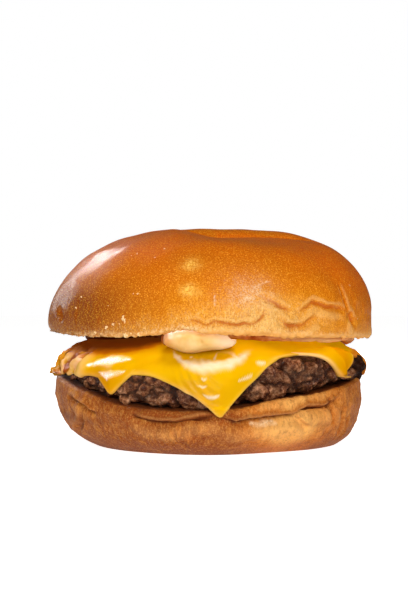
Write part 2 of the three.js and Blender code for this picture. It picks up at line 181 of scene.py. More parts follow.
# The two lips that sag over the heel's side, with the depth and lower width of the creases under them.
HEEL_LIPS = [
    {"depth": 2.4, "below": 1.9,
     "path": [(-119, 13.4), (-115, 12.1), (-110, 11), (-104, 11), (-98, 11.8), (-92.5, 12.9),
              (-88, 13.7)]},
    {"depth": 3.0, "below": 2.3,
     "path": [(-88, 14), (-83.4, 11.7), (-81, 11), (-77, 11.7), (-69.5, 12.5), (-60, 12.8),
              (-56.5, 14.2), (-53.5, 15), (-50, 15), (-46, 14.8), (-40.5, 15.9), (-36, 17.6)]},
]
HEEL_SMALL_FOLDS = [
    [(-58, 12.2), (-55.5, 10.6), (-51.5, 8.6)],
    [(-154, 17.4), (-147.3, 16.3), (-142.4, 15), (-138, 13.5), (-136, 12.6)],
    [(-142.6, 12.8), (-147.2, 8.4), (-161, 3.3)],
    [(-41.8, 18), (-39, 13), (-37.5, 9)],
    [(-33, 14.5), (-31.5, 9.5), (-29, 5)],
    [(-26.6, 11), (-25, 6), (-23.6, 2.8)],
]
# Skin that is damp from the beef's juice, with a painted highlight: (bearing in degrees, height, half
# width).
HEEL_WET = [[(-75.5, 10.2, 0.6), (-71, 10.5, 1.1), (-66, 10.4, 0.7)]]

# ------------------------------------------------------------------ crumbs
# Each is (bearing in degrees, height, size).
CRUMBS = [
    (-119, 42.8, 0.85), (-123, 41.3, 0.5), (-125.9, 40.3, 0.62), (-120.6, 41.3, 0.3),
    (-118.6, 41.9, 0.5), (-131, 38.5, 0.5), (-128.3, 38.2, 0.3), (-118.5, 38, 0.75),
    (-113.6, 38.3, 0.6), (-116.4, 38.4, 0.3), (-124.6, 62.6, 0.24), (-122.3, 63.2, 0.3),
    (-110.2, 64.7, 0.24), (-112.4, 61.8, 0.26), (-114.7, 50.5, 0.26), (-116.4, 50.6, 0.2),
    (-125.6, 46.8, 0.22), (-140.4, 49.7, 0.3), (-142.1, 46.2, 0.28), (-33, 53.4, 0.3),
    (-30.2, 51.2, 0.22), (-48.8, 44, 0.2), (-30, 42.8, 0.26),
]

# ------------------------------------------------------------------ details of the melted cheese
# Smears of thin sauce on the front, their pale colour partly a painted soft reflection: (bearing in
# degrees, height, half width).
CREAM_SMEARS = [
    [(-106.3, 33.5, 0.3), (-104.1, 31.5, 0.5), (-100.5, 29.6, 1.1), (-97, 28.6, 1.7), (-92.5, 28.1, 2.4),
     (-88.4, 28.2, 2.1), (-84.2, 28.9, 1.7), (-80, 30.2, 1.6), (-76.1, 31.8, 1.3), (-72.3, 33.4, 1.0),
     (-68.7, 34.5, 0.5)],
    [(-88.6, 30, 0.4), (-87.2, 31.8, 0.35), (-84.6, 33, 0.5), (-81.8, 32.7, 0.8), (-79.7, 31.2, 0.9)],
]
# Painted highlights: pale, glossier dabs in the sauce's colour where the cheese catches the light.
CREAM_DABS = [
    [(-73.4, 29.4, 0.3), (-71.6, 29.1, 0.7), (-69.9, 29.3, 0.3)],
    [(-80.4, 24.2, 0.2), (-78.4, 24.7, 0.6), (-75.9, 25.4, 0.3)],
    [(-93.4, 24.8, 0.2), (-92.2, 24.5, 0.5), (-90.8, 24.6, 0.2)],
    [(-94.2, 22.8, 0.2), (-92.6, 22.3, 0.4), (-90.9, 22.4, 0.2)],
    [(-92.4, 19.9, 0.2), (-89.8, 19, 0.9), (-87.2, 19.4, 0.4)],
    [(-97.8, 31, 0.3), (-97.4, 30.9, 0.5), (-97, 30.8, 0.3)],
]
# Oily patches that shine, on the lobe at the left, also painted paler as highlights.
OILY_PATCHES = [
    [(-142, 28, 0.7), (-138, 28.6, 1.4), (-134, 29.2, 1.9), (-130, 29.5, 2.0), (-127, 29.9, 1.4),
     (-124.6, 30.1, 0.7), (-122.6, 29.9, 0.3)],
    [(-134, 25.8, 0.3), (-130.5, 25.2, 1.1), (-128, 25.3, 1.4), (-125, 26, 0.9), (-122, 26.6, 0.3)],
    [(-130.5, 25, 0.9), (-128.9, 23.8, 0.7), (-128.2, 22.8, 0.3)],
]
# Rings of shallow waves on the front tip, round a point above it.
RIPPLES = {"bearing": -79, "height": 34, "length": 2.4, "depth": 0.2}
GATHER_START = math.radians(-147)  # the gathered left corner runs from here towards the back
PLEAT_SPACING = 13  # degrees
# The lower edge of the painted shadow that the crown casts on the cheese's top:
# bearings, and the height at each of them.
STAIN_EDGE = ([-165, -148, -138, -120, -108], [28.6, 28.8, 29.4, 31.4, 34.2])
# A fold down the right side: (bearing in degrees, height).
CHEESE_FOLD = [(-38, 36), (-36, 34.4), (-32.5, 31.5), (-30, 28.6), (-28.3, 25.4), (-28, 24)]


# ------------------------------------------------------------------ shape helpers
def smooth(low, high, value):
    share = np.clip((value - low) / (high - low), 0, 1)
    return share * share * (3 - 2 * share)


def bell(distance, width):
    return np.exp(-((distance / width) ** 2))


def turn_to(start, end):
    """Angle from one bearing to another, between half a turn back and half a turn on."""
    return np.mod(end - start + math.pi, 2 * math.pi) - math.pi


def facing(bearing, middle, spread):
    """1 at a middle bearing and less to both sides of it; middle and spread are in degrees."""
    return bell(turn_to(math.radians(middle), bearing), math.radians(spread))


def between(value, start, full, fading, end):
    """0 up to start, 1 from full to fading, and 0 again from end."""
    return smooth(start, full, value) * (1 - smooth(fading, end, value))


def polar(points):
    """Bearing, radius and height of each point."""
    x, y, z = points.T
    return np.arctan2(y, x), np.hypot(x, y), z


def stretches(t, ends):
    """Splits t at the given shares. It gives how far along each stretch t is, and a function that takes a
    value for each stretch and gives, at each point, the one whose stretch t is in."""
    starts = [0, *ends[:-1]]
    along = [np.clip((t - start) / (end - start), 0, 1) for start, end in zip(starts, ends)]

    def pick(*values):
        return np.select([t <= end + 1e-9 for end in ends], values)

    return along, pick


def rough(points, size, octaves, seed=0.0):
    """Fractal noise at each point, about -1 to 1, whose largest features are about size mm across."""
    return np.array([noise.fractal(spot, 1.0, 2.0, octaves) for spot in (points / size + seed).tolist()])


def upright(points, spacing, reach, seed):
    """Noise in upright strokes, spacing mm apart round a wall of radius reach, as in pulled bread."""
    bearing, radius, height = polar(points)
    strokes = np.column_stack([bearing * reach / spacing, height / 5, radius / 5])
    return rough(strokes, 1, 3, seed)


def cells(points, size):
    """Distance to the nearest and the second nearest of scattered middles, in units of size."""
    found = [noise.voronoi(spot)[0][:2] for spot in (points / size).tolist()]
    return np.array(found).T


def eased(path, runs=6):
    """A smooth curve through a path's points, as a row of short runs."""
    points = np.array(path, float)
    padded = np.vstack([2 * points[0] - points[1], points, 2 * points[-1] - points[-2]])
    curve = []
    for a, b, c, d in zip(padded, padded[1:], padded[2:], padded[3:]):
        for f in np.linspace(0, 1, runs, endpoint=False):
            curve.append(spline(a, b, c, d, f))
    return np.array([*curve, points[-1]])


# In the next four, where is (bearing, height, reach): the places of a round wall's points, and the radius
# at which their bearings become mm along it.
def from_spot(where, middle, level, flatness=1):
    """Distance in mm from a spot at a middle bearing in degrees and a level. Heights count flatness
    times, so a patch round the spot is that much lower than it is wide."""
    bearing, height, reach = where
    return np.hypot((bearing - math.radians(middle)) * reach, flatness * (height - level))


def beside(path, where):
    """Distance in mm from a crease, positive above it, and the share along it, 0 to 1. The path is
    (bearing in degrees, height), from left to right."""
    bearing, height, reach = where
    curve = eased(path) * [math.radians(1) * reach, 1]
    spots = np.column_stack([bearing * reach, height])
    nearest = np.full(len(spots), np.inf)
    side = np.ones(len(spots))
    share = np.zeros(len(spots))
    for i, (start, end) in enumerate(zip(curve, curve[1:])):
        run = end - start
        along = np.clip((spots - start) @ run / (run @ run), 0, 1)
        gap = spots - start - along[:, None] * run
        far = np.hypot(*gap.T)
        closer = far < nearest
        nearest[closer] = far[closer]
        side[closer] = np.sign(run[0] * gap[:, 1] - run[1] * gap[:, 0])[closer]
        share[closer] = ((i + along) / (len(curve) - 1))[closer]
    return nearest * np.where(side == 0, 1, side), share


def fold(path, where, depth, above, below, lift=0.3):
    """Depth of a crease pressed into a wall, sharper on one side than on the other, with raised lips.
    It gives how far the wall moves out, and how deep in the crease each point is: 1 at its bottom, and
    under 0 on a lip."""
    distance, share = beside(path, where)
    width = np.where(distance > 0, above, below)
    fade = np.sqrt(np.clip(4 * share * (1 - share), 0, 1)) * bell(distance * (share * (1 - share) == 0), 1.0)
    pressed = bell(distance, width) * fade
    lips = bell(np.abs(distance) - 1.9 * width, width) * fade
    out = depth * (lift * lips - pressed)
    deep = bell(distance, np.minimum(width, 0.7)) * fade - 0.6 * lips
    return out, deep


def cover(smears, where, core):
    """How far smears of (bearing in degrees, height, half width) cover each point of a wall, 0 to 1."""
    covered = 0
    for spots in smears:
        distance, share = beside([spot[:2] for spot in spots], where)
        reach = np.interp(share, np.linspace(0, 1, len(spots)), [spot[2] for spot in spots])
        covered = np.maximum(covered, 1 - smooth(core, 1.15, np.abs(distance) / reach))
    return covered


# ------------------------------------------------------------------ mesh helpers
def coordinates(mesh):
    flat = np.empty(len(mesh.vertices) * 3)
    mesh.vertices.foreach_get("co", flat)
    return flat.reshape(-1, 3)


def place(mesh, points):
    mesh.vertices.foreach_set("co", np.ascontiguousarray(points, float).ravel())
    mesh.update()


def raised(points, height):
    return points + np.outer(height, [0, 0, 1])


def push(mesh, distance):
    """Moves each vertex along its normal."""
    normals = np.empty(len(mesh.vertices) * 3)
    mesh.vertex_normals.foreach_get("vector", normals)
    place(mesh, coordinates(mesh) + normals.reshape(-1, 3) * distance[:, None])


def paint(mesh, **layers):
    """Keeps named values at each vertex for the material to read."""
    for name, values in layers.items():
        layer = mesh.attributes.new(name, "FLOAT", "POINT")
        layer.data.foreach_set("value", np.ascontiguousarray(values, np.float32))


def painted(mesh, name):
    """The values that paint has kept under a name."""
    values = np.empty(len(mesh.vertices), np.float32)
    mesh.attributes[name].data.foreach_get("value", values)
    return values


def round_body(name, section, bearings, stations, front=FRONT):
    """A closed mesh: a grid wrapped into a sphere, whose vertices then go to section(bearing, t), which
    gives x, y and z, with t from 0 at the middle of the top to 1 at the middle of the underside.
    Its bearings lie closest together at the front."""
    crowding = 0.45  # 0 would space the bearings evenly
    shape = bmesh.new()
    bmesh.ops.create_grid(shape, x_segments=bearings, y_segments=stations, size=1)
    for vertex in shape.verts:
        turn = vertex.co.x * math.pi
        bearing = front + turn - crowding * math.sin(turn)
        tilt = (1 - vertex.co.y) * math.pi / 2
        across = math.sin(tilt)
        vertex.co = (across * math.cos(bearing), across * math.sin(bearing), math.cos(tilt))
    bmesh.ops.remove_doubles(shape, verts=shape.verts, dist=1e-5)
    bmesh.ops.recalc_face_normals(shape, faces=shape.faces)
    mesh = bpy.data.meshes.new(name)
    shape.to_mesh(mesh)
    shape.free()
    x, y, z = coordinates(mesh).T
    t = np.arccos(np.clip(z, -1, 1)) / math.pi
    place(mesh, np.column_stack(section(np.arctan2(y, x), t)))
    paint(mesh, station=t)
    return mesh


def turned(section):
    """A section that gives radius and height, as one that gives x, y and z."""

    def full(bearing, t):
        radius, height = section(bearing, t)
        return radius * np.cos(bearing), radius * np.sin(bearing), height

    return full


def finished(mesh, material, slot, *nodes):
    """The mesh as a shown piece of the burger, in metres, in place of its CAD nodes."""
    place(mesh, coordinates(mesh) * MM)
    mesh.polygons.foreach_set("use_smooth", np.ones(len(mesh.polygons), bool))
    mesh.materials.append(material)
    piece = bpy.data.objects.new(mesh.name, mesh)
    bpy.context.scene.collection.objects.link(piece)
    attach(piece, "root")
    if nodes:
        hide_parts(*nodes)
    return piece


# ------------------------------------------------------------------ surfaces that pieces share
def heel_top(bearing, radius):
    share = radius / HEEL_RADIUS(bearing)
    return HEEL_MIDDLE + (HEEL_RIM(bearing) - HEEL_MIDDLE) * share**2.4


def patty_radius(bearing):
    chunk = facing(bearing, PATTY_CHUNK["bearing"], PATTY_CHUNK["spread"])
    return PATTY_RADIUS(bearing) + PATTY_CHUNK["out"] * chunk


def patty_top(bearing, radius):
    share = np.minimum(1, radius / patty_radius(bearing))
    return PATTY_MIDDLE + (PATTY_RIM(bearing) - PATTY_MIDDLE) * share**2.2


def crown_underside(bearing, radius):
    share = radius / CROWN_RADIUS(bearing)
    return CROWN_UNDERSIDE_MIDDLE + (CROWN_RIM(bearing) - CROWN_UNDERSIDE_MIDDLE) * share**2


def drape(bearing, flat_radius):
    """Where a point of a sheet draped over the patty lies: its radius and height, and its face's tilt.
    Inside the bend it lies on the patty; over it, it turns down through an arc, then hangs straight."""
    start = patty_radius(bearing) - BEND_RADIUS + 1.2
    along = np.minimum(flat_radius, start) + GATHER(bearing) * np.maximum(0, flat_radius - start)
    start_tilt = np.arctan(patty_top(bearing, start - 1) - patty_top(bearing, start))
    rise = patty_top(bearing, along + 0.5) - patty_top(bearing, np.maximum(0, along - 0.5))
    lying = [along, patty_top(bearing, along), np.arctan(-rise) * smooth(0, 6, along)]
    turned_by = np.clip((along - start) / BEND_RADIUS, 0, HANG(bearing) - start_tilt)
    tilt = start_tilt + turned_by
    straight = along - start - turned_by * BEND_RADIUS
    out = BEND_RADIUS * (np.sin(tilt) - np.sin(start_tilt)) + straight * np.cos(tilt)
    down = BEND_RADIUS * (np.cos(start_tilt) - np.cos(tilt)) + straight * np.sin(tilt)
    hanging = [start + out, patty_top(bearing, start) - down, tilt]
    return [np.where(along <= start, near, far) for near, far in zip(lying, hanging)]


def outside(slice_, x, y):
    """How far a flat point is outside a slice's square; negative inside."""
    dx, dy = x - slice_["x"], y - slice_["y"]
    along = np.abs(dx * np.cos(slice_["turn"]) + dy * np.sin(slice_["turn"]))
    across = np.abs(dy * np.cos(slice_["turn"]) - dx * np.sin(slice_["turn"]))
    return np.maximum(along, across) - CHEESE_SIDE / 2


def sagged(slice_, bearing, flat_radius):
    """Flat radius of a slice's point once its melted edge has sagged."""
    lobe = SAG["out"] * facing(bearing, SAG["bearing"], SAG["spread"])
    out = slice_["sag"] * (lobe + 1.7 * facing(bearing, -127, 7.5))
    return flat_radius + out * smooth(SAG["from"], SAG["to"], flat_radius)


def lift_of(slice_, x, y):
    """Height of a slice's lower face above the patty: the upper slice rides up over the lower one."""
    if slice_ is LOWER_SLICE:
        return np.full(np.shape(x), SHEET_GAP)
    return SHEET_GAP + (CHEESE_THICKNESS + SHEET_GAP) * (1 - smooth(-3, 9, outside(LOWER_SLICE, x, y)))


def cheese_top(bearing, radius):
    x, y = radius * np.cos(bearing), radius * np.sin(bearing)
    return drape(bearing, radius)[1] + lift_of(UPPER_SLICE, x, y) + CHEESE_THICKNESS


# ------------------------------------------------------------------ crown
def crown_dome(bearing, f):
    """Radius and height of the dome, with f from 0 at its middle to 1 at the shoulder."""
    radius = CROWN_RADIUS(bearing)
    shoulder = CROWN_SHOULDER(bearing)
    power = 2 / CROWN_FULLNESS(bearing)
    level = np.minimum(1, f / CROWN_FLAT)
    turn = np.maximum(0, (f - CROWN_FLAT) / (1 - CROWN_FLAT)) * (math.pi / 2)
    rise = np.cos(turn) ** power
    r = radius * (CROWN_FLAT * level + (1 - CROWN_FLAT) * np.sin(turn) ** power)
    z = shoulder + (BUN_HEIGHT - CROWN_FLAT_DROP - shoulder) * rise + CROWN_FLAT_DROP * (1 - level**2)
    x, y = r * np.cos(bearing), r * np.sin(bearing)
    hollow = between(x, *CROWN_HOLLOW["across"]) * between(-y, *CROWN_HOLLOW["forward"])
    sunk = CROWN_HOLLOW["depth"] * hollow
    furrow = CROWN_VALLEY["depth"] * bell(y - CROWN_VALLEY["y"], CROWN_VALLEY["width"]) * valley_share(x)
    return r + CROWN_LEAN * rise * level * np.cos(bearing), z - sunk - furrow


def valley_share(x):
    """How strong the crease across the crown's top is, from left to right."""
    return between(x, *CROWN_VALLEY["across"])


def crown_rim(bearing):
    """Height of the crown's torn lower edge, which lifts over the dollop."""
    return CROWN_RIM(bearing) + 1.5 * facing(bearing, -99, 6)


def crown_section(bearing, t):
    side_share = 0.55  # of the stretch that is the wall, above the rounded edge
    (f, g, h), pick = stretches(t, [0.62, 0.8, 1])
    radius = CROWN_RADIUS(bearing)
    shoulder = CROWN_SHOULDER(bearing)
    rim = crown_rim(bearing)
    turn = smooth(side_share, 1, g) * (math.pi / 2)
    wall = shoulder + (rim + CROWN_EDGE_ROUND - shoulder) * np.minimum(1, g / side_share)
    inner = (radius - CROWN_EDGE_ROUND) * (1 - h)
    lifted = (rim - CROWN_RIM(bearing)) * (1 - h) ** 3
    dome_radius, dome_height = crown_dome(bearing, f**0.8)
    underside = crown_underside(bearing, inner) + lifted
    return (
        pick(dome_radius, radius - CROWN_EDGE_ROUND * (1 - np.cos(turn)), inner),
        pick(dome_height, wall - CROWN_EDGE_ROUND * np.sin(turn), underside),
    )


def crown_folds(points, wall):
    """How far the crown's wall moves out for its wrinkles, pit and streaks, and how much painted shade each
    point gets in a crease, the pit or a streak, with less than none, painted lighter, on a wrinkle's lips."""
    bearing, _, z = polar(points)
    wavy_bearing = bearing + 0.35 * rough(points, 3, 3, 15.5) / CROWN_REACH
    wavy = (wavy_bearing, z + 0.5 * rough(points, 2.6, 3, 18.5), CROWN_REACH)
    uneven = np.clip(1.05 + 0.8 * rough(points, 5, 2, 21.5), 0.6, 1.6)
    move = np.zeros(len(points))
    creased = np.zeros(len(points))
    for wrinkle in CROWN_WRINKLES:
        width = wrinkle["width"]
        out, deep = fold(wrinkle["path"], wavy, wrinkle["depth"], width, 2.2 * width)
        move += out * wall * uneven
        creased += 1.2 * deep * wall * uneven
    distance, share = beside(CROWN_PIT, (bearing, z, CROWN_REACH))
    pit = bell(distance, 1.2) * between(share, 0, 0.3, 0.7, 1) * wall
    move -= 1.6 * pit
    creased += 0.9 * pit
    for path in CROWN_STREAKS:
        distance, share = beside(path, wavy)
        streak = bell(distance, 0.5) * between(share, 0, 0.4, 0.6, 1) * wall
        move -= 0.3 * streak
        creased += 0.5 * streak
    return move, creased


def crown_bake(points, fibres):
    """How brown the crown's crust is, 0 to 1, made paler round two painted golden highlights, and how
    strongly each point is in one of these painted highlights.
    """
    bearing, _, z = polar(points)
    band = CROWN_BAND(bearing) + 1.5 * rough(points, 5, 3, 6.1)
    bake = np.interp(z - band, *CROWN_BAKE_STEPS)
    bake += 0.2 * facing(bearing, -32, 30) * smooth(36, 42, z)
    bake += 0.2 * facing(bearing, -45, 26) * bell(z - 37, 4)
    bake += 0.1 * rough(points, 14, 2, 5.5) + 0.06 * fibres * (1 - smooth(46, 58, z))
    where = (bearing, z, SPOT_REACH)
    blotch = bell(from_spot(where, -33.5, 43), 2.6)
    bake += 0.5 * blotch * smooth(-0.1, 0.3, rough(points, 2, 3, 41.5))
    # Painted highlights: the crust is paler and tinted golden round two spots on the front.
    glow = np.zeros(len(points))
    for height in CROWN_GLOW["heights"]:
        away = from_spot(where, CROWN_GLOW["bearing"], height, CROWN_GLOW["flatness"])
        bake -= 0.25 * bell(away, 3.6)
        glow += bell(away + 0.8 * rough(points, 1.5, 3, 27.5), 2.4)
    return bake, glow


def crown():
    mesh = round_body("crown_bread", turned(crown_section), *BREAD_GRID)
    points = coordinates(mesh)
    x, y, z = points.T
    bearing, radius, _ = polar(points)
    wall = smooth(35, 48, radius)
    skin = smooth(0, 1.5, z - crown_underside(bearing, radius) - 0.4)
    fibres = upright(points, 0.9, CROWN_REACH, 7.3)
    over_rim = z - crown_rim(bearing)
    torn_edge = wall * bell(over_rim - 0.3, 1.1)
    left_edge = facing(bearing, -173, 24) * smooth(40, 50, radius) * (1 - smooth(0, 4, over_rim))
    move, creased = crown_folds(points, wall)
    move += 0.45 * rough(points, 16, 2) * skin
    move += 0.9 * rough(points, 7, 2, 31.5) * facing(bearing, -52, 24) * wall * between(z, 38, 42, 50, 56)
    move += 0.2 * fibres * wall * (1 - smooth(42, 54, z)) * skin
    move += 0.6 * rough(points, 1.3, 3, 3.1) * torn_edge
    place(mesh, raised(points, 0.9 * left_edge))
    push(mesh, move - 1.1 * left_edge * wall)

    bake, glow = crown_bake(points, fibres)
    behind_valley = between(y, -4.5, -2, 3, 9) * valley_share(x) * smooth(60, 66, z)
    # Painted shade: a dark line in the crease across the top.
    in_valley = bell(y + 5.9, 1.3) * valley_share(x) * smooth(66, 68, z)
    # Painted shade on the lower left of the crown, partly a darker bake.
    dusk = facing(bearing, -148, 36) * (1 - smooth(46, 61, z)) * wall
    # Painted sheen: a broad pale patch and streaks on the front right of the crust.
    veil = 0.5 * bell(from_spot((bearing, z, CROWN_REACH), -77.5, 50.2, 1.5), 8)
    floury = cover(CROWN_HAZE, (bearing, z + 0.8 * rough(points, 2.5, 3, 9.9), CROWN_REACH), -0.4)
    paint(
        mesh,
        bake=np.clip(bake - 0.35 * behind_valley, 0, 1),
        glow=glow,
        crease=creased + 0.75 * in_valley,
        dusk=dusk,
        haze=np.maximum(veil, floury),
        crumb=(1 - skin) * (1 - 0.8 * dusk),
        torn_edge=torn_edge * (1 - facing(bearing, -172, 30)),
    )
    return finished(mesh, glazed_crust(), "glazed_crust", "crown")


# ------------------------------------------------------------------ heel
def heel_wall(bearing, height):
    """Radius of the heel's side at a height: tucked in under its belly, and a little over it."""
    rim = HEEL_RIM(bearing)
    widest = HEEL_RADIUS(bearing)
    belly = np.minimum(HEEL_BELLY(bearing), rim - 3)
    under = np.maximum(0, 1 - height / belly)
    over = np.maximum(0, (height - belly) / (rim - belly))
    tuck = 0.36 * under + 0.64 * under**4
    return widest - (widest - HEEL_BASE(bearing)) * tuck - 0.8 * over**2


def heel_section(bearing, t):
    (f, g, h, k), pick = stretches(t, [0.16, 0.24, 0.84, 1])
    wall_top = HEEL_RIM(bearing) - HEEL_EDGE_ROUND
    edge_radius = heel_wall(bearing, wall_top)
    face_radius = edge_radius - HEEL_EDGE_ROUND
    edge_top = heel_top(bearing, face_radius)
    turn = g * math.pi / 2
    height = wall_top * (1 - h) ** 1.2
    return (
        pick(
            face_radius * f,
            edge_radius - HEEL_EDGE_ROUND * (1 - np.sin(turn)),
            heel_wall(bearing, height),
            HEEL_BASE(bearing) * (1 - k),
        ),
        pick(
            heel_top(bearing, face_radius * f),
            edge_top - (edge_top - wall_top) * (1 - np.cos(turn)),
            height,
            0 * k,
        ),
    )


def heel_folds(points, wall):
    """How far the heel's wall moves out for its lips and folds, how much painted shade each point gets in a
    crease, less than none, painted lighter, on a lip, and how much painted shade it gets under a lip."""
    bearing, _, z = polar(points)
    wavy = (bearing, z + 0.35 * rough(points, 3, 3, 14.5), HEEL_REACH)
    move = np.zeros(len(points))
    creased = np.zeros(len(points))
    shaded = np.zeros(len(points))
    for lip in HEEL_LIPS:
        out, deep = fold(lip["path"], wavy, lip["depth"], 0.55, lip["below"], 0.16)
        distance, share = beside(lip["path"], wavy)
        move += out * wall
        creased += 1.2 * deep * wall
        shaded += bell(distance - 0.6, 1.5) * between(share, 0, 0.12, 0.9, 1) * wall
    for path in HEEL_SMALL_FOLDS:
        out, deep = fold(path, wavy, 1.6, 0.6, 1.4, 0.4)
        move += out * wall
        creased += 0.8 * deep * wall
    return move, creased, shaded


def heel():
    mesh = round_body("heel_bread", turned(heel_section), *BREAD_GRID)
    points = coordinates(mesh)
    bearing, radius, z = polar(points)
    wall = smooth(44, 48, radius) * smooth(0.2, 3, z)
    fibres = upright(points, 1.3, SPOT_REACH, 4.4)
    skin = rough(points, 2.4, 3, 6.6)
    wrinkled = facing(bearing, -101, 9) * between(z, 2, 5, 9, 12)
    left_rim = facing(bearing, -170, 17) * smooth(14, 21, z) * smooth(40, 46, radius)
    move, creased, shaded = heel_folds(points, wall)
    move += 0.45 * rough(points, 12, 2, 2.2) * smooth(0.1, 2, z)
    move += ((0.26 + 0.75 * wrinkled) * fibres + 0.22 * skin) * wall
    place(mesh, raised(points, 1.1 * left_rim))
    push(mesh, move)

    # Painted shade darkens the skin towards the bottom.
    bake = HEEL_BAKE(bearing) + 0.3 * (1 - smooth(1, 9, z)) + 0.16 * rough(points, 9, 3, 8.1)
    # Painted shade along the left lip, under the patty and the cheese.
    bake += 0.8 * facing(bearing, -104, 15) * smooth(10.5, 13.5, z)
    bake += 0.5 * shaded - (0.1 + 0.8 * wrinkled) * fibres
    # A painted pool of light: paler, golden skin low on the front right.
    bake -= 0.5 * bell(from_spot((bearing, z, SPOT_REACH), -60, 7.2, 2.4), 9)
    # Painted shadow under the patty's rim at the front left.
    shaded += 0.8 * facing(bearing, -120, 26) * smooth(-3.5, 0, z - HEEL_RIM(bearing))
    # Painted shade: the cut face under the patty, seen only in the gap at the rim, is painted dark brown.
    inside = heel_wall(bearing, HEEL_RIM(bearing) - HEEL_EDGE_ROUND) - radius
    paint(
        mesh,
        bake=np.clip(bake, 0, 1),
        crease=creased,
        shaded=shaded,
        crumb=smooth(0.6, 2, inside) * smooth(8, 12, z),
        # Damp skin, also painted paler as a highlight.
        wet=cover(HEEL_WET, (bearing, z + 0.6 * skin, HEEL_REACH), -0.6),
    )
    return finished(mesh, soft_crust(), "heel_crust", "heel")


# ------------------------------------------------------------------ patty
def patty_section(bearing, t):
    (f, g, h, k), pick = stretches(t, [0.2, 0.45, 0.72, 1])
    flat = patty_radius(bearing) - PATTY_EDGE_ROUND
    top = patty_top(bearing, flat)
    bottom = heel_top(bearing, flat) + GAP
    middle = bottom + 0.45 * (top - bottom)
    upper_turn = g * math.pi / 2
    lower_turn = h * math.pi / 2
    inner = flat * (1 - k)
    return (
        pick(
            flat * f,
            flat + PATTY_EDGE_ROUND * np.sin(upper_turn),
            flat + PATTY_EDGE_ROUND * np.cos(lower_turn),
            inner,
        ),
        pick(
            patty_top(bearing, flat * f),
            middle + (top - middle) * np.cos(upper_turn),
            middle - (middle - bottom) * np.sin(lower_turn),
            heel_top(bearing, inner) + GAP,
        ),
    )


def patty():
    mesh = round_body("beef_patty", turned(patty_section), *PATTY_GRID)
    points = coordinates(mesh)
    bearing, radius, z = polar(points)
    rim = smooth(40, 47, radius)
    wander = np.column_stack([rough(points, 5, 3, seed) for seed in (1.5, 4.5, 9.5)])
    near, second = cells(points * [1, 1, 1.35] + 3.4 * wander, 9.5)
    lump = smooth(0.0, 0.5, second - near) * (1 - 0.5 * near)
    grain = 1 - 2.4 * np.abs(rough(points + 1.6 * wander, 3.4, 3, 3.3))
    coarse = smooth(-0.25, 0.35, rough(points, 9, 2, 12.1))
    chunk = facing(bearing, -8, 9) * rim
    crumbly = 0.26 * rough(points, 1.3, 3, 2.7) + 0.8 * rough(points, 5, 3, 8.3)
    move = 2.0 * (lump - 0.7) + (0.12 + 0.28 * coarse) * (grain - 0.6) + crumbly
    push(mesh, move * (0.1 + 0.9 * rim) + 1.6 * chunk)
    # Painted shade: the beef is darkened, and loses its gloss, down in the gap over the heel.
    above_heel = z - heel_top(bearing, np.minimum(radius, HEEL_RADIUS(bearing)))
    paint(
        mesh,
        lump=lump,
        grain=grain,
        coarse=coarse,
        exposed=smooth(-0.2, 1.0, above_heel),
        chunk=chunk,
    )
    return finished(mesh, seared_beef(), "beef", "patty")


# ------------------------------------------------------------------ cheese
def slice_section(slice_):
    """The slice as a flat square with round corners and edges, laid out and draped over the patty."""
    squareness = 60

    def section(bearing, t):
        along, across = np.abs(np.cos(bearing)), np.abs(np.sin(bearing))
        reach = CHEESE_SIDE / 2 / (along**squareness + across**squareness) ** (1 / squareness)
        side = np.where(t < 0.5, 1, -1)
        inward = np.abs(t - 0.5) * 2
        turn = np.clip(inward / CHEESE_EDGE, 0, 1) * math.pi / 2
        inner = np.clip((inward - CHEESE_EDGE) / (1 - CHEESE_EDGE), 0, 1)
        out = (reach - CHEESE_EDGE_ROUND) * (1 - inner) + CHEESE_EDGE_ROUND * np.cos(turn) * (inner == 0)
        x = slice_["x"] + out * np.cos(bearing + slice_["turn"])
        y = slice_["y"] + out * np.sin(bearing + slice_["turn"])
        hooded = 0.5 * facing(bearing + slice_["turn"], -2, 13)
        thick = thickness(reach - out) * (1 - hooded * smooth(12, 4, reach - out))
        height = thick * (0.5 + 0.5 * side * np.sin(turn))
        return hang(slice_, x, y, height, reach - out)

    return section


def thickness(inset):
    """Thickness of a slice, which thins out towards its border."""
    return CHEESE_THICKNESS - 1.0 * bell(inset, 4.5)


def hang(slice_, x, y, height, inset):
    """Where a point of a slice comes to lie, for its flat place, its height in the slice and its inset.
    The border of the upper slice has melted into the lower one."""
    bearing = np.arctan2(y, x)
    flat = sagged(slice_, bearing, np.hypot(x, y))
    radius, level, tilt = drape(bearing, flat)
    x, y = flat * np.cos(bearing), flat * np.sin(bearing)
    lift = lift_of(slice_, x, y) + height
    if slice_ is UPPER_SLICE:
        past = outside(LOWER_SLICE, x, y)
        over = 1 - smooth(-1, 3, past)
        proud = 0.45 * facing(bearing, -129, 12)
        sunk = over * (thickness(np.maximum(0, -past)) - MELTED_IN + proud) + (1 - 0.45 * over) * height
        lift += (SHEET_GAP + sunk - lift) * (1 - smooth(0, 13, inset))
    z = level + lift * np.cos(tilt)
    clear = np.where(z < HEEL_RIM(bearing) + 1, HEEL_RADIUS(bearing) + 0.3 + GAP + height, 0)
    reach = np.maximum(clear, radius + lift * np.sin(tilt))
    return reach * np.cos(bearing), reach * np.sin(bearing), z


def slipped(points, share):
    """The lower slice's points as its right tip has slid round and up."""
    turn = SLIP["turn"] * share
    x, y, z = points.T
    return np.column_stack([
        x * np.cos(turn) - y * np.sin(turn),
        x * np.sin(turn) + y * np.cos(turn),
        z + SLIP["rise"] * share,
    ])


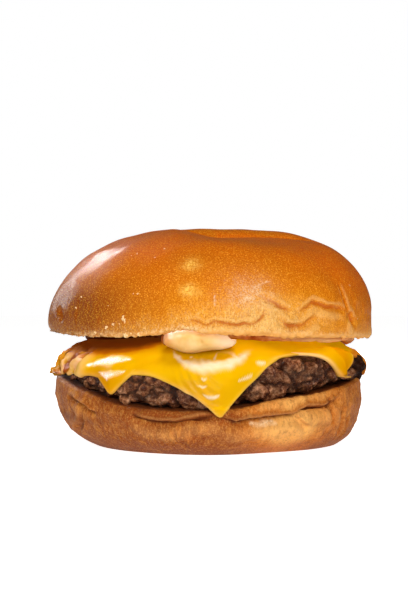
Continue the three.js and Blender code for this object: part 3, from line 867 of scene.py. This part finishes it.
def slice_marks(points, bearing, radius, upper):
    """Where a slice is gathered, rippled, folded, hooded and smeared, as shares at each point. upper is
    True for the upper slice, which alone has smears and a gathered corner."""
    z = points[:, 2]
    past = np.degrees(turn_to(bearing, GATHER_START))
    side = smooth(41, 47, radius)
    ragged = 0.6 * rough(points, 2.6, 3, 4.2)
    run = from_spot((bearing, z, SPOT_REACH), RIPPLES["bearing"], RIPPLES["height"])
    ridge, share = beside(CHEESE_FOLD, (bearing, z, FOLD_REACH))
    sharp_above = np.where(ridge > 0, bell(ridge, 1.1), bell(ridge, 3.2))
    return SimpleNamespace(
        past=past,
        side=side,
        ragged=ragged,
        gathered=between(past, -1, 2, 50, 64) * side,
        pleats=np.sin(2 * math.pi * past / PLEAT_SPACING + 3.4 * rough(points, 6, 2, 1.1)),
        rolled=bell(past + 1.6, 2.2) * side,
        rippled=facing(bearing, -94, 7) * smooth(9, 12, run),
        ripple=np.sin(2 * math.pi * run / RIPPLES["length"] + 1.6 * rough(points, 8, 2, 2.9)),
        folded=between(share, 0, 0.15, 0.9, 1) * side * sharp_above,
        hooded=facing(bearing, -4, 13) * smooth(47, 50, radius),
        # Sauce smears, whose pale colour is partly a painted reflection.
        cream=cover(CREAM_SMEARS, (bearing, z + ragged, CHEESE_REACH), 0.1) * side * upper,
        # Painted highlights.
        dabs=cover(CREAM_DABS, (bearing, z + 0.5 * ragged, CHEESE_REACH), 0.2) * side * upper,
        corner=bell(past - 26.5, 7) * smooth(47, 50.5, radius) * upper,
    )


def shape_slice(mesh, points, radius, marks, upper):
    """Raises a slice's left corner, and gives how far its marks move its faces out."""
    move = (0.85 * marks.pleats - 0.7 + 0.7 * rough(points, 3, 3, 8.8)) * marks.gathered
    move += 0.8 * marks.rolled * upper
    move += RIPPLES["depth"] * marks.ripple * marks.rippled * marks.side
    move += 1.1 * marks.folded + 0.8 * marks.hooded
    move += 0.25 * marks.cream + 0.1 * marks.dabs
    lift = 1.2 * bell(marks.past - 25, 22) * smooth(30, 40, radius) * upper
    place(mesh, raised(points, lift + 0.8 * marks.corner))
    return move


def paint_slice(mesh, points, bearing, marks, upper):
    """Keeps what the cheese's material reads: colours, painted shade and shadow, gloss, painted highlights
    and the cut edge.
    """
    z = points[:, 2]
    # Painted shadow of the crown: the cheese's top is darkened above this edge, and loses its gloss.
    low = np.interp(bearing, np.radians(STAIN_EDGE[0]), STAIN_EDGE[1])
    stain = smooth(low, low + 4.4, z + 0.5 * marks.ragged)
    stain = stain * smooth(math.radians(-102), math.radians(-110), bearing) * upper
    oily = cover(OILY_PATCHES, (bearing, z + 0.6 * marks.ragged, CHEESE_REACH), 0.1) * marks.side
    waves = 0.44 * marks.rippled * (1 - smooth(24, 27, z)) * upper
    folds = 0.28 * marks.gathered * (1 - marks.corner) * upper
    gloss = np.max([oily, folds, waves, 0.1 * marks.cream, 0.8 * marks.dabs], axis=0)
    # Painted shade: a deeper orange on the low lobe, the right tip, the front tip and the corner, which face
    # away from the light.
    lobe = facing(bearing, -133, 11) * (1 - smooth(24.5, 29.5, z))
    right_tip = facing(bearing, -26, 8) * (1 - smooth(31, 38, z))
    front_tip = 0.3 * facing(bearing, -93, 9) * (1 - smooth(21, 28, z))
    spoiled = between(marks.past, -1, 2, 64, 84) * marks.side
    # Painted highlight: the cut edge is paler where it catches the light, most on the lit side, and along
    # the rolled ridge of the corner.
    edge = 1 - smooth(0.5, 1.4, np.abs(painted(mesh, "station") - 0.5) * 2 / CHEESE_EDGE)
    lit = 0.6 * facing(bearing, -95, 9) if upper else facing(bearing, -50, 18)
    paint(
        mesh,
        gloss=gloss * (1 - stain),
        amber=np.clip(lobe + right_tip + front_tip + marks.corner, 0, 1) * marks.side,
        cream=np.maximum(marks.cream, 0.75 * marks.dabs),
        gathered=spoiled * (1 - 0.9 * marks.corner) * upper,
        # The pleats also give the gathered corner its painted shade and highlights.
        pleats=marks.pleats * marks.gathered * upper,
        stain=stain,
        hood=np.minimum(1, 1.3 * marks.hooded) * upper,
        edge=edge * np.maximum(0.2, lit) + 0.5 * marks.rolled * upper,
    )


def cheese(name, slice_, node):
    upper = slice_ is UPPER_SLICE
    mesh = round_body(name, slice_section(slice_), *CHEESE_GRID, FRONT - slice_["turn"])
    points = coordinates(mesh)
    bearing, radius, _ = polar(points)
    move = 0.3 * rough(points, 9, 2, 6.1)
    if not upper:
        points = slipped(points, facing(bearing, -27, 9) * smooth(41, 47, radius))
    marks = slice_marks(points, bearing, radius, upper)
    push(mesh, move + shape_slice(mesh, points, radius, marks, upper))
    paint_slice(mesh, points, bearing, marks, upper)
    return finished(mesh, melted_cheese(), "cheese", node)


# ------------------------------------------------------------------ sauces
def sauce_floor(bearing, radius):
    return cheese_top(bearing, radius) + GAP


def sauce_ceiling(bearing, radius):
    floor = sauce_floor(bearing, radius)
    under_crown = crown_underside(bearing, radius) - GAP
    return np.maximum(floor + 0.4, np.minimum(under_crown, floor + SAUCE_MOST))


def sauce_section(bearing, t):
    (f, g, h), pick = stretches(t, [0.3, 0.6, 1])
    recess = 8 * facing(bearing, -140, 20)
    bulge = 9.6 * facing(bearing, -110.5, 5)
    squeezed = 3.2 * facing(bearing, -38, 13)
    reach = SAUCE_RADIUS(bearing) - recess + bulge + squeezed
    edge_round = np.minimum(2.4, (sauce_ceiling(bearing, reach) - sauce_floor(bearing, reach)) / 2 + 0.8)
    flat = reach - edge_round
    inner = flat * (1 - h)
    top, bottom = sauce_ceiling(bearing, flat), sauce_floor(bearing, flat)
    turn = g * math.pi
    return (
        pick(flat * f, flat + edge_round * np.sin(turn), inner),
        pick(
            sauce_ceiling(bearing, flat * f),
            (top + bottom) / 2 + (top - bottom) / 2 * np.cos(turn),
            sauce_floor(bearing, inner),
        ),
    )


def sauce():
    mesh = round_body("pressed_sauce", turned(sauce_section), *SAUCE_GRID)
    points = coordinates(mesh)
    bearing, radius, _ = polar(points)
    push(mesh, 0.5 * rough(points, 5, 3, 3.9) * smooth(28, 34, radius))
    # Painted shade: the sauce is darkened on the left, under the crown.
    paint(mesh, pale=facing(bearing, -34, 22), browned=facing(bearing, -160, 42))
    return finished(mesh, burger_sauce(), "burger_sauce", "sauce")


def dollop_section(bearing, t):
    squareness = 2.5

    def square(value):
        return np.sign(value) * np.abs(value) ** (2 / squareness)

    tilt = t * math.pi
    across = square(np.sin(tilt) * np.cos(bearing))
    deep = square(np.sin(tilt) * np.sin(bearing))
    high = square(np.cos(tilt))
    x = DOLLOP["x"] + DOLLOP["across"] * across
    y = DOLLOP["y"] + DOLLOP["deep"] * deep * (1 - 0.3 * smooth(0.3, 1, across))
    sags = 3.1 + 0.9 * bell(across + 0.3, 0.34)
    slant = np.maximum(0.3, 4.6 - 0.9 * np.maximum(0, x - 2.0))
    z = DOLLOP["z"] + np.where(high > 0, np.minimum(high * DOLLOP["high"], slant), high * sags)
    spot = np.arctan2(y, x)
    radius = np.hypot(x, y)
    floor = cheese_top(spot, radius) - 0.3
    ceiling = np.where(radius < CROWN_RADIUS(spot) - 1, crown_underside(spot, radius) + 0.9, 99)
    return x, y, np.maximum(floor, np.minimum(ceiling, z))


def dollop():
    mesh = round_body("mayonnaise_dollop", dollop_section, *DOLLOP_GRID)
    points = coordinates(mesh)
    x, y, z = points.T
    # A dimple, also painted darker as painted shade.
    dimple = bell(np.hypot(x + 2.6, 0.6 * (z - 35.9)), 0.5) * (y < DOLLOP["y"])
    push(mesh, 0.35 * rough(points, 5, 2, 5.2) - 0.6 * dimple)
    # Painted light and shade: the right end is paler and the left end darker.
    paint(mesh, dimple=dimple, tip=smooth(-2, 7, x) - smooth(-9, -14, x))
    return finished(mesh, mayonnaise(), "mayonnaise", "dollop")


# ------------------------------------------------------------------ crumbs
def crumbs():
    """Torn crumbs on the crown's lower edge and a few flecks higher up, as one mesh."""
    shape = bmesh.new()
    for bearing, height, size in CRUMBS:
        made = bmesh.ops.create_icosphere(shape, subdivisions=3, radius=0.8 * size)["verts"]
        angle = math.radians(bearing)
        radius = crown_reach(angle, height)
        middle = Vector((radius * math.cos(angle), radius * math.sin(angle), height))
        for vertex in made:
            bulge = 1 + 1.1 * noise.fractal(vertex.co * (1.5 / size) + middle, 1.0, 2.0, 2)
            vertex.co = middle + bulge * vertex.co
    mesh = bpy.data.meshes.new("bread_crumbs")
    shape.to_mesh(mesh)
    shape.free()
    return finished(mesh, torn_crumb(), "heel_crust")


def crown_reach(bearing, height):
    """Radius of the crown's outside at a height."""
    t = np.linspace(0.05, 0.8, 400)
    radius, level = crown_section(np.full(t.shape, bearing), t)
    return float(radius[np.argmin(np.abs(level - height))])


# ------------------------------------------------------------------ materials
def srgb(red, green, blue):
    """A colour given as 0 to 255 a channel, as the linear colour that shaders use."""

    def linear(value):
        share = value / 255
        return share / 12.92 if share <= 0.04045 else ((share + 0.055) / 1.055) ** 2.4

    return (linear(red), linear(green), linear(blue), 1)


class Finish:
    """The nodes of one material, added by short calls that give their output. Its colour is built up in
    self.colour, which tint and lay cover with further colours, given as 0 to 255 a channel."""

    def __init__(self, name, **settings):
        self.material = bpy.data.materials.new(name)
        self.material.use_nodes = True
        self.tree = self.material.node_tree
        self.shader = self.tree.nodes["Principled BSDF"]
        self.here = self.add("ShaderNodeTexCoord").outputs["Object"]
        for socket, value in settings.items():
            self.set(socket, value)

    def add(self, kind, **settings):
        node = self.tree.nodes.new(kind)
        for key, value in settings.items():
            setattr(node, key, value)
        return node

    def feed(self, socket, value):
        """Gives a socket a number, a colour, another node's output or a painted attribute by its name."""
        if isinstance(value, str):
            value = self.add("ShaderNodeAttribute", attribute_name=value).outputs["Fac"]
        if isinstance(value, bpy.types.NodeSocket):
            self.tree.links.new(value, socket)
        else:
            socket.default_value = value

    def set(self, socket, value):
        """Sets or links one of the shader's own sockets, named with _ for a space."""
        self.feed(self.shader.inputs[socket.replace("_", " ")], value)

    def noise(self, size, detail=2.0, roughness=0.5, stretch=(1, 1, 1)):
        """Noise with features about size mm across."""
        spot = self.add("ShaderNodeMapping")
        spot.inputs["Scale"].default_value = stretch
        self.feed(spot.inputs["Vector"], self.here)
        node = self.add("ShaderNodeTexNoise")
        self.feed(node.inputs["Vector"], spot.outputs["Vector"])
        self.feed(node.inputs["Scale"], 1 / (size * MM))
        self.feed(node.inputs["Detail"], detail)
        self.feed(node.inputs["Roughness"], roughness)
        return node.outputs["Fac"]

    def span(self, value, low, high, start=0.0, end=1.0):
        """value from low to high, as start to end."""
        node = self.add("ShaderNodeMapRange")
        for socket, number in zip(node.inputs, (value, low, high, start, end)):
            self.feed(socket, number)
        return node.outputs["Result"]

    def maths(self, operation, first, second):
        node = self.add("ShaderNodeMath", operation=operation)
        self.feed(node.inputs[0], first)
        self.feed(node.inputs[1], second)
        return node.outputs["Value"]

    def times(self, first, second):
        return self.maths("MULTIPLY", first, second)

    def mix(self, share, first, second):
        node = self.add("ShaderNodeMix", data_type="RGBA")
        for socket, value in ((0, share), (6, first), (7, second)):
            self.feed(node.inputs[socket], value)
        return node.outputs[2]

    def tint(self, colour, share):
        """Covers the colour so far with another, as far as share says."""
        self.colour = self.mix(share, self.colour, srgb(*colour))

    def lay(self, colour, value, low, high, most=1.0):
        """Covers the colour so far as value goes from low to high, up to a share of most."""
        self.tint(colour, self.span(value, low, high, 0, most))

    def ramp(self, value, stops):
        node = self.add("ShaderNodeValToRGB")
        row = node.color_ramp.elements
        for position, _ in stops[2:]:
            row.new(position)
        for element, (position, colour) in zip(row, stops):
            element.position = position
            element.color = srgb(*colour)
        self.feed(node.inputs["Fac"], value)
        return node.outputs["Color"]

    def bump(self, height, distance, under=None):
        """A normal from heights of 0 to 1 that stand for distance in mm."""
        node = self.add("ShaderNodeBump")
        self.feed(node.inputs["Height"], height)
        self.feed(node.inputs["Distance"], distance * MM)
        self.feed(node.inputs["Strength"], 1.0)
        if under:
            self.feed(node.inputs["Normal"], under)
        return node.outputs["Normal"]

    def done(self, roughness, normal, coat_normal=None):
        self.set("Base_Color", self.colour)
        self.set("Roughness", roughness)
        self.set("Normal", normal)
        self.set("Coat_Normal", coat_normal or normal)
        return self.material


def glazed_crust():
    m = Finish("glazed_crust", Coat_Roughness=0.12, Specular_IOR_Level=0.02)
    m.set("Coat_Weight", m.span(m.noise(0.5, 3, 0.8), 0.43, 0.56, 0.02, 0.36))
    torn = m.span("bake", 0.42, 0.1)
    strokes = m.noise(0.5, 4, 0.75, (1, 1, 0.42))
    specks = m.noise(0.42, 4, 0.75)
    floury = m.times("haze", m.span(m.noise(0.5, 4, 0.8), 0.42, 0.6, 0.1, 1))
    floury = m.times(floury, m.span(m.noise(3.2, 3, 0.6), 0.36, 0.56, 0.4, 1))
    glowing = m.times("glow", m.span(m.noise(0.7, 3, 0.7), 0.4, 0.6, 0.1, 0.9))
    ragged = m.times("torn_edge", m.span(m.noise(1.1, 3, 0.7), 0.44, 0.58))
    m.colour = m.ramp(
        "bake",
        [
            (0.0, (227, 176, 95)),
            (0.2, (224, 147, 47)),
            (0.45, (212, 120, 12)),
            (0.75, (204, 102, 4)),
            (1.0, (220, 99, 0)),
        ],
    )
    # Painted shade on the lower left, partly a darker bake.
    m.lay((134, 62, 20), "dusk", 0.1, 0.85, 0.95)
    m.tint((255, 216, 148), m.times(m.span(strokes, 0.52, 0.64, 0, 0.55), torn))
    m.tint((206, 116, 34), m.times(m.span(strokes, 0.52, 0.36, 0, 0.6), torn))
    m.lay((255, 184, 58), specks, 0.52, 0.64, 0.7)
    m.lay((168, 66, 4), specks, 0.47, 0.35, 0.6)
    # Painted shade in the creases, and painted highlights on their lips.
    m.lay((184, 84, 8), "crease", 0.15, 1, 0.75)
    m.lay((250, 196, 118), "crease", -0.1, -0.6, 0.3)
    # Painted sheen.
    m.tint((240, 220, 184), floury)
    # Painted golden highlights.
    m.tint((255, 206, 96), glowing)
    m.tint((255, 222, 164), m.times(ragged, 0.8))
    m.tint((236, 168, 86), "crumb")
    grain = m.bump(specks, 0.16, m.bump(m.noise(1.1, 3, 0.6), 0.16))
    fibre = m.bump(m.times(strokes, torn), 0.25, grain)
    glaze = m.bump(m.noise(0.45, 2), 0.034, m.bump(m.noise(1.3, 2, 0.6), 0.045))
    return m.done(m.span("bake", 0, 0.6, 0.62, 0.45), fibre, glaze)


def soft_crust():
    m = Finish("soft_crust", Coat_Weight=0.08, Coat_Roughness=0.3, Specular_IOR_Level=0.12)
    blotches = m.noise(4.5, 5, 0.68)
    strokes = m.noise(0.7, 4, 0.75, (1, 1, 0.4))
    damp = m.times("wet", m.span(m.noise(0.8, 3, 0.7), 0.4, 0.6, 0.35, 1))
    m.colour = m.ramp("bake", [(0, (244, 178, 94)), (0.5, (198, 111, 34)), (1, (146, 68, 16))])
    m.lay((234, 162, 72), blotches, 0.52, 0.68, 0.4)
    m.lay((132, 60, 14), blotches, 0.48, 0.34, 0.55)
    m.lay((238, 168, 80), strokes, 0.5, 0.68, 0.45)
    m.lay((130, 60, 16), strokes, 0.5, 0.32, 0.5)
    m.lay((248, 188, 108), m.noise(0.42, 4, 0.75), 0.52, 0.66, 0.4)
    m.lay((120, 54, 14), "shaded", 0, 1, 0.5)
    # Painted shade in the creases, and painted highlights on their lips.
    m.lay((84, 32, 8), "crease", 0.1, 0.9, 0.95)
    m.lay((244, 184, 110), "crease", -0.1, -0.6, 0.16)
    # Painted shade: the cut face in the gap under the patty, dark brown.
    m.tint((120, 60, 24), "crumb")
    # Painted highlight: the damp skin is paled towards white; it is also smoother.
    m.lay((255, 226, 180), damp, 0, 1, 0.9)
    wrinkles = m.bump(strokes, 0.3, m.bump(m.noise(0.9, 4, 0.6), 0.22))
    return m.done(m.span(damp, 0, 1, 0.58, 0.16), wrinkles)


def torn_crumb():
    m = Finish("torn_crumb", Specular_IOR_Level=0.1)
    m.colour = srgb(252, 222, 170)
    m.lay((244, 196, 126), m.noise(0.4, 2), 0.35, 0.65)
    return m.done(0.7, m.bump(m.noise(0.3, 2), 0.1))


def seared_beef():
    m = Finish("seared_beef", Coat_Roughness=0.09, Specular_IOR_Level=0.0)
    fine = m.noise(0.8, 4, 0.8)
    seared = m.times(m.span(m.noise(7, 3, 0.6), 0.5, 0.6), "coarse")
    wet = m.times("exposed", m.span(m.noise(0.6, 3, 0.8), 0.44, 0.56, 0.15, 1))
    m.set("Coat_Weight", m.times(wet, m.span("chunk", 0.1, 0.7, 1, 0.3)))
    m.colour = m.ramp(
        m.noise(4.2, 6, 0.72),
        [(0.36, (52, 19, 8)), (0.45, (98, 50, 26)), (0.54, (144, 90, 55)), (0.66, (198, 144, 104))],
    )
    m.lay((38, 13, 5), fine, 0.5, 0.38, 0.65)
    m.lay((212, 162, 122), fine, 0.54, 0.68, 0.45)
    m.tint((46, 17, 7), m.times(seared, 0.5))
    # Painted shade in the gap over the heel.
    m.lay((30, 9, 3), "exposed", 0.8, 0, 0.9)
    # Painted shade in the crevices between the lumps and along the grain.
    m.lay((30, 9, 3), "lump", 0.3, 0.0, 0.85)
    m.lay((34, 12, 4), "grain", 0.45, 0.0, 0.35)
    m.lay((26, 8, 3), "chunk", 0.1, 0.6, 0.95)
    return m.done(m.span(m.noise(1.6, 2), 0.35, 0.65, 0.25, 0.6), m.bump(m.noise(0.55, 4, 0.75), 0.6))


def melted_cheese():
    m = Finish(
        "melted_cheese",
        Coat_Roughness=0.12,
        Specular_IOR_Level=0.0,
        Subsurface_Weight=0.2,
        Subsurface_Radius=(3 * MM, 1.4 * MM, 0.3 * MM),
        Subsurface_Scale=1.0,
    )
    # Sauce on the gathered corner, with painted shade in the pleats' hollows and painted highlights on their
    # ridges.
    soaked = m.ramp(
        m.maths("ADD", "pleats", m.span(m.noise(2.5, 3), 0, 1, -0.3, 0.9)),
        [(0.1, (138, 62, 14)), (0.45, (200, 120, 54)), (0.9, (238, 176, 112))],
    )
    sauced = m.times("gathered", m.span(m.noise(6, 2), 0.4, 0.56, 0.35, 1))
    streaks = m.span(m.noise(1.6, 4, 0.6, (0.35, 0.35, 1)), 0.35, 0.6, 0.8, 1)
    pores = m.span(m.noise(0.5, 3, 0.8), 0.43, 0.53, 0.15, 1)
    m.set("Coat_Weight", m.span(m.times("gloss", pores), 0, 1, 0, 0.5))
    m.colour = srgb(205, 153, 1)
    m.lay((214, 164, 5), m.noise(9, 3), 0.3, 0.7)
    # Painted shade: deeper orange on the shaded parts.
    m.lay((206, 128, 0), "amber", 0, 1, 0.8)
    # Painted highlight on the cut edge.
    m.lay((236, 190, 126), "edge", 0, 1, 0.9)
    m.colour = m.mix(sauced, m.colour, soaked)
    m.lay((176, 96, 26), "hood", 0.1, 0.9, 0.85)
    # Painted shadow of the crown: orange-brown, then dark brown higher up.
    m.lay((196, 108, 4), "stain", 0, 0.5)
    m.lay((96, 42, 6), "stain", 0.25, 1)
    # Sauce smears and highlight dabs: cream colour, partly painted reflection and highlights.
    m.tint((224, 204, 170), m.times("cream", streaks))
    # Painted highlight: the oily patches and glossy marks are paled towards white.
    m.tint((240, 222, 216), m.times(m.span("gloss", 0.45, 1, 0, 0.4), pores))
    return m.done(m.span(m.noise(5, 2), 0.3, 0.7, 0.3, 0.45), m.bump(m.noise(3.5, 2), 0.15))


def burger_sauce():
    m = Finish("burger_sauce", Coat_Weight=0.15, Coat_Roughness=0.2, Specular_IOR_Level=0.0)
    m.colour = m.ramp(m.noise(4, 3), [(0.3, (170, 84, 36)), (0.5, (206, 132, 76)), (0.7, (230, 176, 124))])
    m.lay((252, 196, 128), "pale", 0.2, 0.9, 0.8)
    # Painted shade on the left.
    m.lay((96, 42, 10), "browned", 0.1, 0.7)
    return m.done(0.35, m.bump(m.noise(1.5, 3), 0.3))


def mayonnaise():
    m = Finish(
        "mayonnaise",
        Coat_Weight=0.06,
        Coat_Roughness=0.2,
        Specular_IOR_Level=0.1,
        Subsurface_Weight=0.3,
        Subsurface_Radius=(2.5 * MM, 1.6 * MM, 0.8 * MM),
        Subsurface_Scale=1.0,
    )
    m.colour = srgb(222, 174, 98)
    m.lay((230, 192, 130), m.noise(4, 4), 0.35, 0.65)
    # Painted highlight on the right end, painted shade on the left end.
    m.lay((250, 230, 200), "tip", 0, 1, 0.75)
    m.lay((224, 160, 80), "tip", 0, -1, 0.7)
    # Painted shade in the dimple.
    m.lay((206, 150, 70), "dimple", 0.2, 1, 0.6)
    return m.done(0.34, m.bump(m.noise(2.5, 2), 0.15))


# ------------------------------------------------------------------ studio
PANEL_DISTANCE = 0.9
BURGER_MIDDLE = Vector((0, 0, 0.04))
FLOOR_RADIUS = 6
EYE = {"place": (-0.0019, -0.450, 0.0468), "lens": 77.2, "sensor": 36}


def softbox(name, bearing, rise, width, height, strength, pieces=(), gloss=False):
    """A soft panel at a bearing and a rise in degrees, that doesn't show itself. It gives either light or
    gloss. One for some pieces shines on these alone, and past the others."""
    light = bpy.data.lights.new(name, "AREA")
    light.shape = "RECTANGLE"
    light.size = width
    light.size_y = height
    light.energy = strength * math.pi * width * height
    lamp = bpy.data.objects.new(name, light)
    bearing, rise = degrees([bearing, rise])
    across = math.cos(rise)
    towards = Vector((across * math.cos(bearing), across * math.sin(bearing), math.sin(rise)))
    lamp.location = BURGER_MIDDLE + PANEL_DISTANCE * towards
    lamp.rotation_euler = towards.to_track_quat("Z", "Y").to_euler()
    lamp.visible_camera = False
    lamp.visible_diffuse = not gloss
    lamp.visible_glossy = gloss
    bpy.context.scene.collection.objects.link(lamp)
    if pieces:
        lit = bpy.data.collections.new(name)
        for piece in pieces:
            lit.objects.link(piece)
        lamp.light_linking.receiver_collection = lit
        lamp.light_linking.blocker_collection = lit


def seen_or_lit(tree, seen, lit):
    """A colour that the camera sees, and another that lights the burger."""
    mix = tree.nodes.new("ShaderNodeMix")
    mix.data_type = "RGBA"
    mix.inputs[6].default_value = (*lit, 1)
    mix.inputs[7].default_value = (*seen, 1)
    tree.links.new(tree.nodes.new("ShaderNodeLightPath").outputs["Is Camera Ray"], mix.inputs[0])
    return mix.outputs[2]


def pale_floor():
    shape = bmesh.new()
    bmesh.ops.create_circle(shape, cap_ends=True, segments=96, radius=FLOOR_RADIUS)
    mesh = bpy.data.meshes.new("floor")
    shape.to_mesh(mesh)
    shape.free()
    m = Finish("pale_floor", Emission_Strength=1.0)
    m.set("Emission_Color", seen_or_lit(m.tree, (0.93, 0.93, 0.93), (0.34, 0.34, 0.34)))
    m.colour = srgb(244, 243, 241)
    mesh.materials.append(m.done(0.8, m.bump(m.noise(2, 2), 0.02)))
    floor = bpy.data.objects.new("floor", mesh)
    bpy.context.scene.collection.objects.link(floor)


def pale_room():
    world = bpy.data.worlds.new("studio")
    world.use_nodes = True
    tree = world.node_tree
    light = seen_or_lit(tree, (1, 1, 1), (0.07, 0.068, 0.066))
    tree.links.new(light, tree.nodes["Background"].inputs["Color"])
    bpy.context.scene.world = world


def panels(bread, beef, upper, cheeses):
    """The studio's lights: each has a bearing, rise, width, height and strength, and then the pieces that
    it is for and True if it gives gloss."""
    softbox("key", -80, 15.7, 0.52, 0.34, 11.0)
    softbox("overhead", -128, 68, 0.65, 0.65, 1.5)
    softbox("left_fill", -143, 17, 0.5, 0.4, 1.4)
    softbox("cheese_fill", -55, 74, 0.4, 0.4, 10.5, cheeses)
    softbox("shoulder_core", 119, 30, 0.2, 0.1, 22, bread, True)
    softbox("shoulder_halo", 126, 25, 0.26, 0.26, 3.4, bread, True)
    softbox("shoulder_veil", 130, 16, 0.36, 0.34, 3.8, bread, True)
    softbox("cheese_left", 137, 45, 1.0, 0.62, 17, cheeses, True)
    softbox("cheese_corner", 140, 10, 0.3, 0.25, 2.5, cheeses, True)
    softbox("cheese_lobe", -168, 28, 0.75, 0.8, 30, cheeses, True)
    softbox("cheese_corner_fill", -170, 25, 0.3, 0.3, 2.5, upper)
    softbox("cheese_ripples", -98, 10, 0.4, 0.05, 58, cheeses, True)
    softbox("cheese_bend", 5, 68, 0.2, 0.12, 14, cheeses, True)
    softbox("beef_front", -84, 50, 0.26, 0.14, 62, beef, True)
    softbox("beef_left", -160, 30, 0.16, 0.16, 34, beef, True)
    softbox("beef_fill", -8, 22, 0.4, 0.4, 12, beef)
    softbox("beef_fill_left", -162, 18, 0.3, 0.3, 13, beef)
    softbox("back_fill", 95, 12, 0.7, 0.4, 4)


def eye_level_camera():
    camera = bpy.data.cameras.new("camera")
    camera.sensor_width = EYE["sensor"]
    camera.lens = EYE["lens"]
    eye = bpy.data.objects.new("camera", camera)
    eye.location = EYE["place"]
    eye.rotation_euler = (math.pi / 2, 0, 0)
    bpy.context.scene.collection.objects.link(eye)
    bpy.context.scene.camera = eye
    bpy.context.scene.view_settings.view_transform = "Standard"


heel_bread = heel()
beef_patty = patty()
lower_cheese = cheese("lower_cheese", LOWER_SLICE, "cheese_lower")
upper_cheese = cheese("upper_cheese", UPPER_SLICE, "cheese_upper")
sauce()
mayonnaise_dollop = dollop()
crown_bread = crown()
crumbs()
pale_floor()
pale_room()
panels(
    bread=[crown_bread, heel_bread],
    beef=[beef_patty],
    upper=[upper_cheese],
    cheeses=[lower_cheese, upper_cheese, mayonnaise_dollop],
)
eye_level_camera()
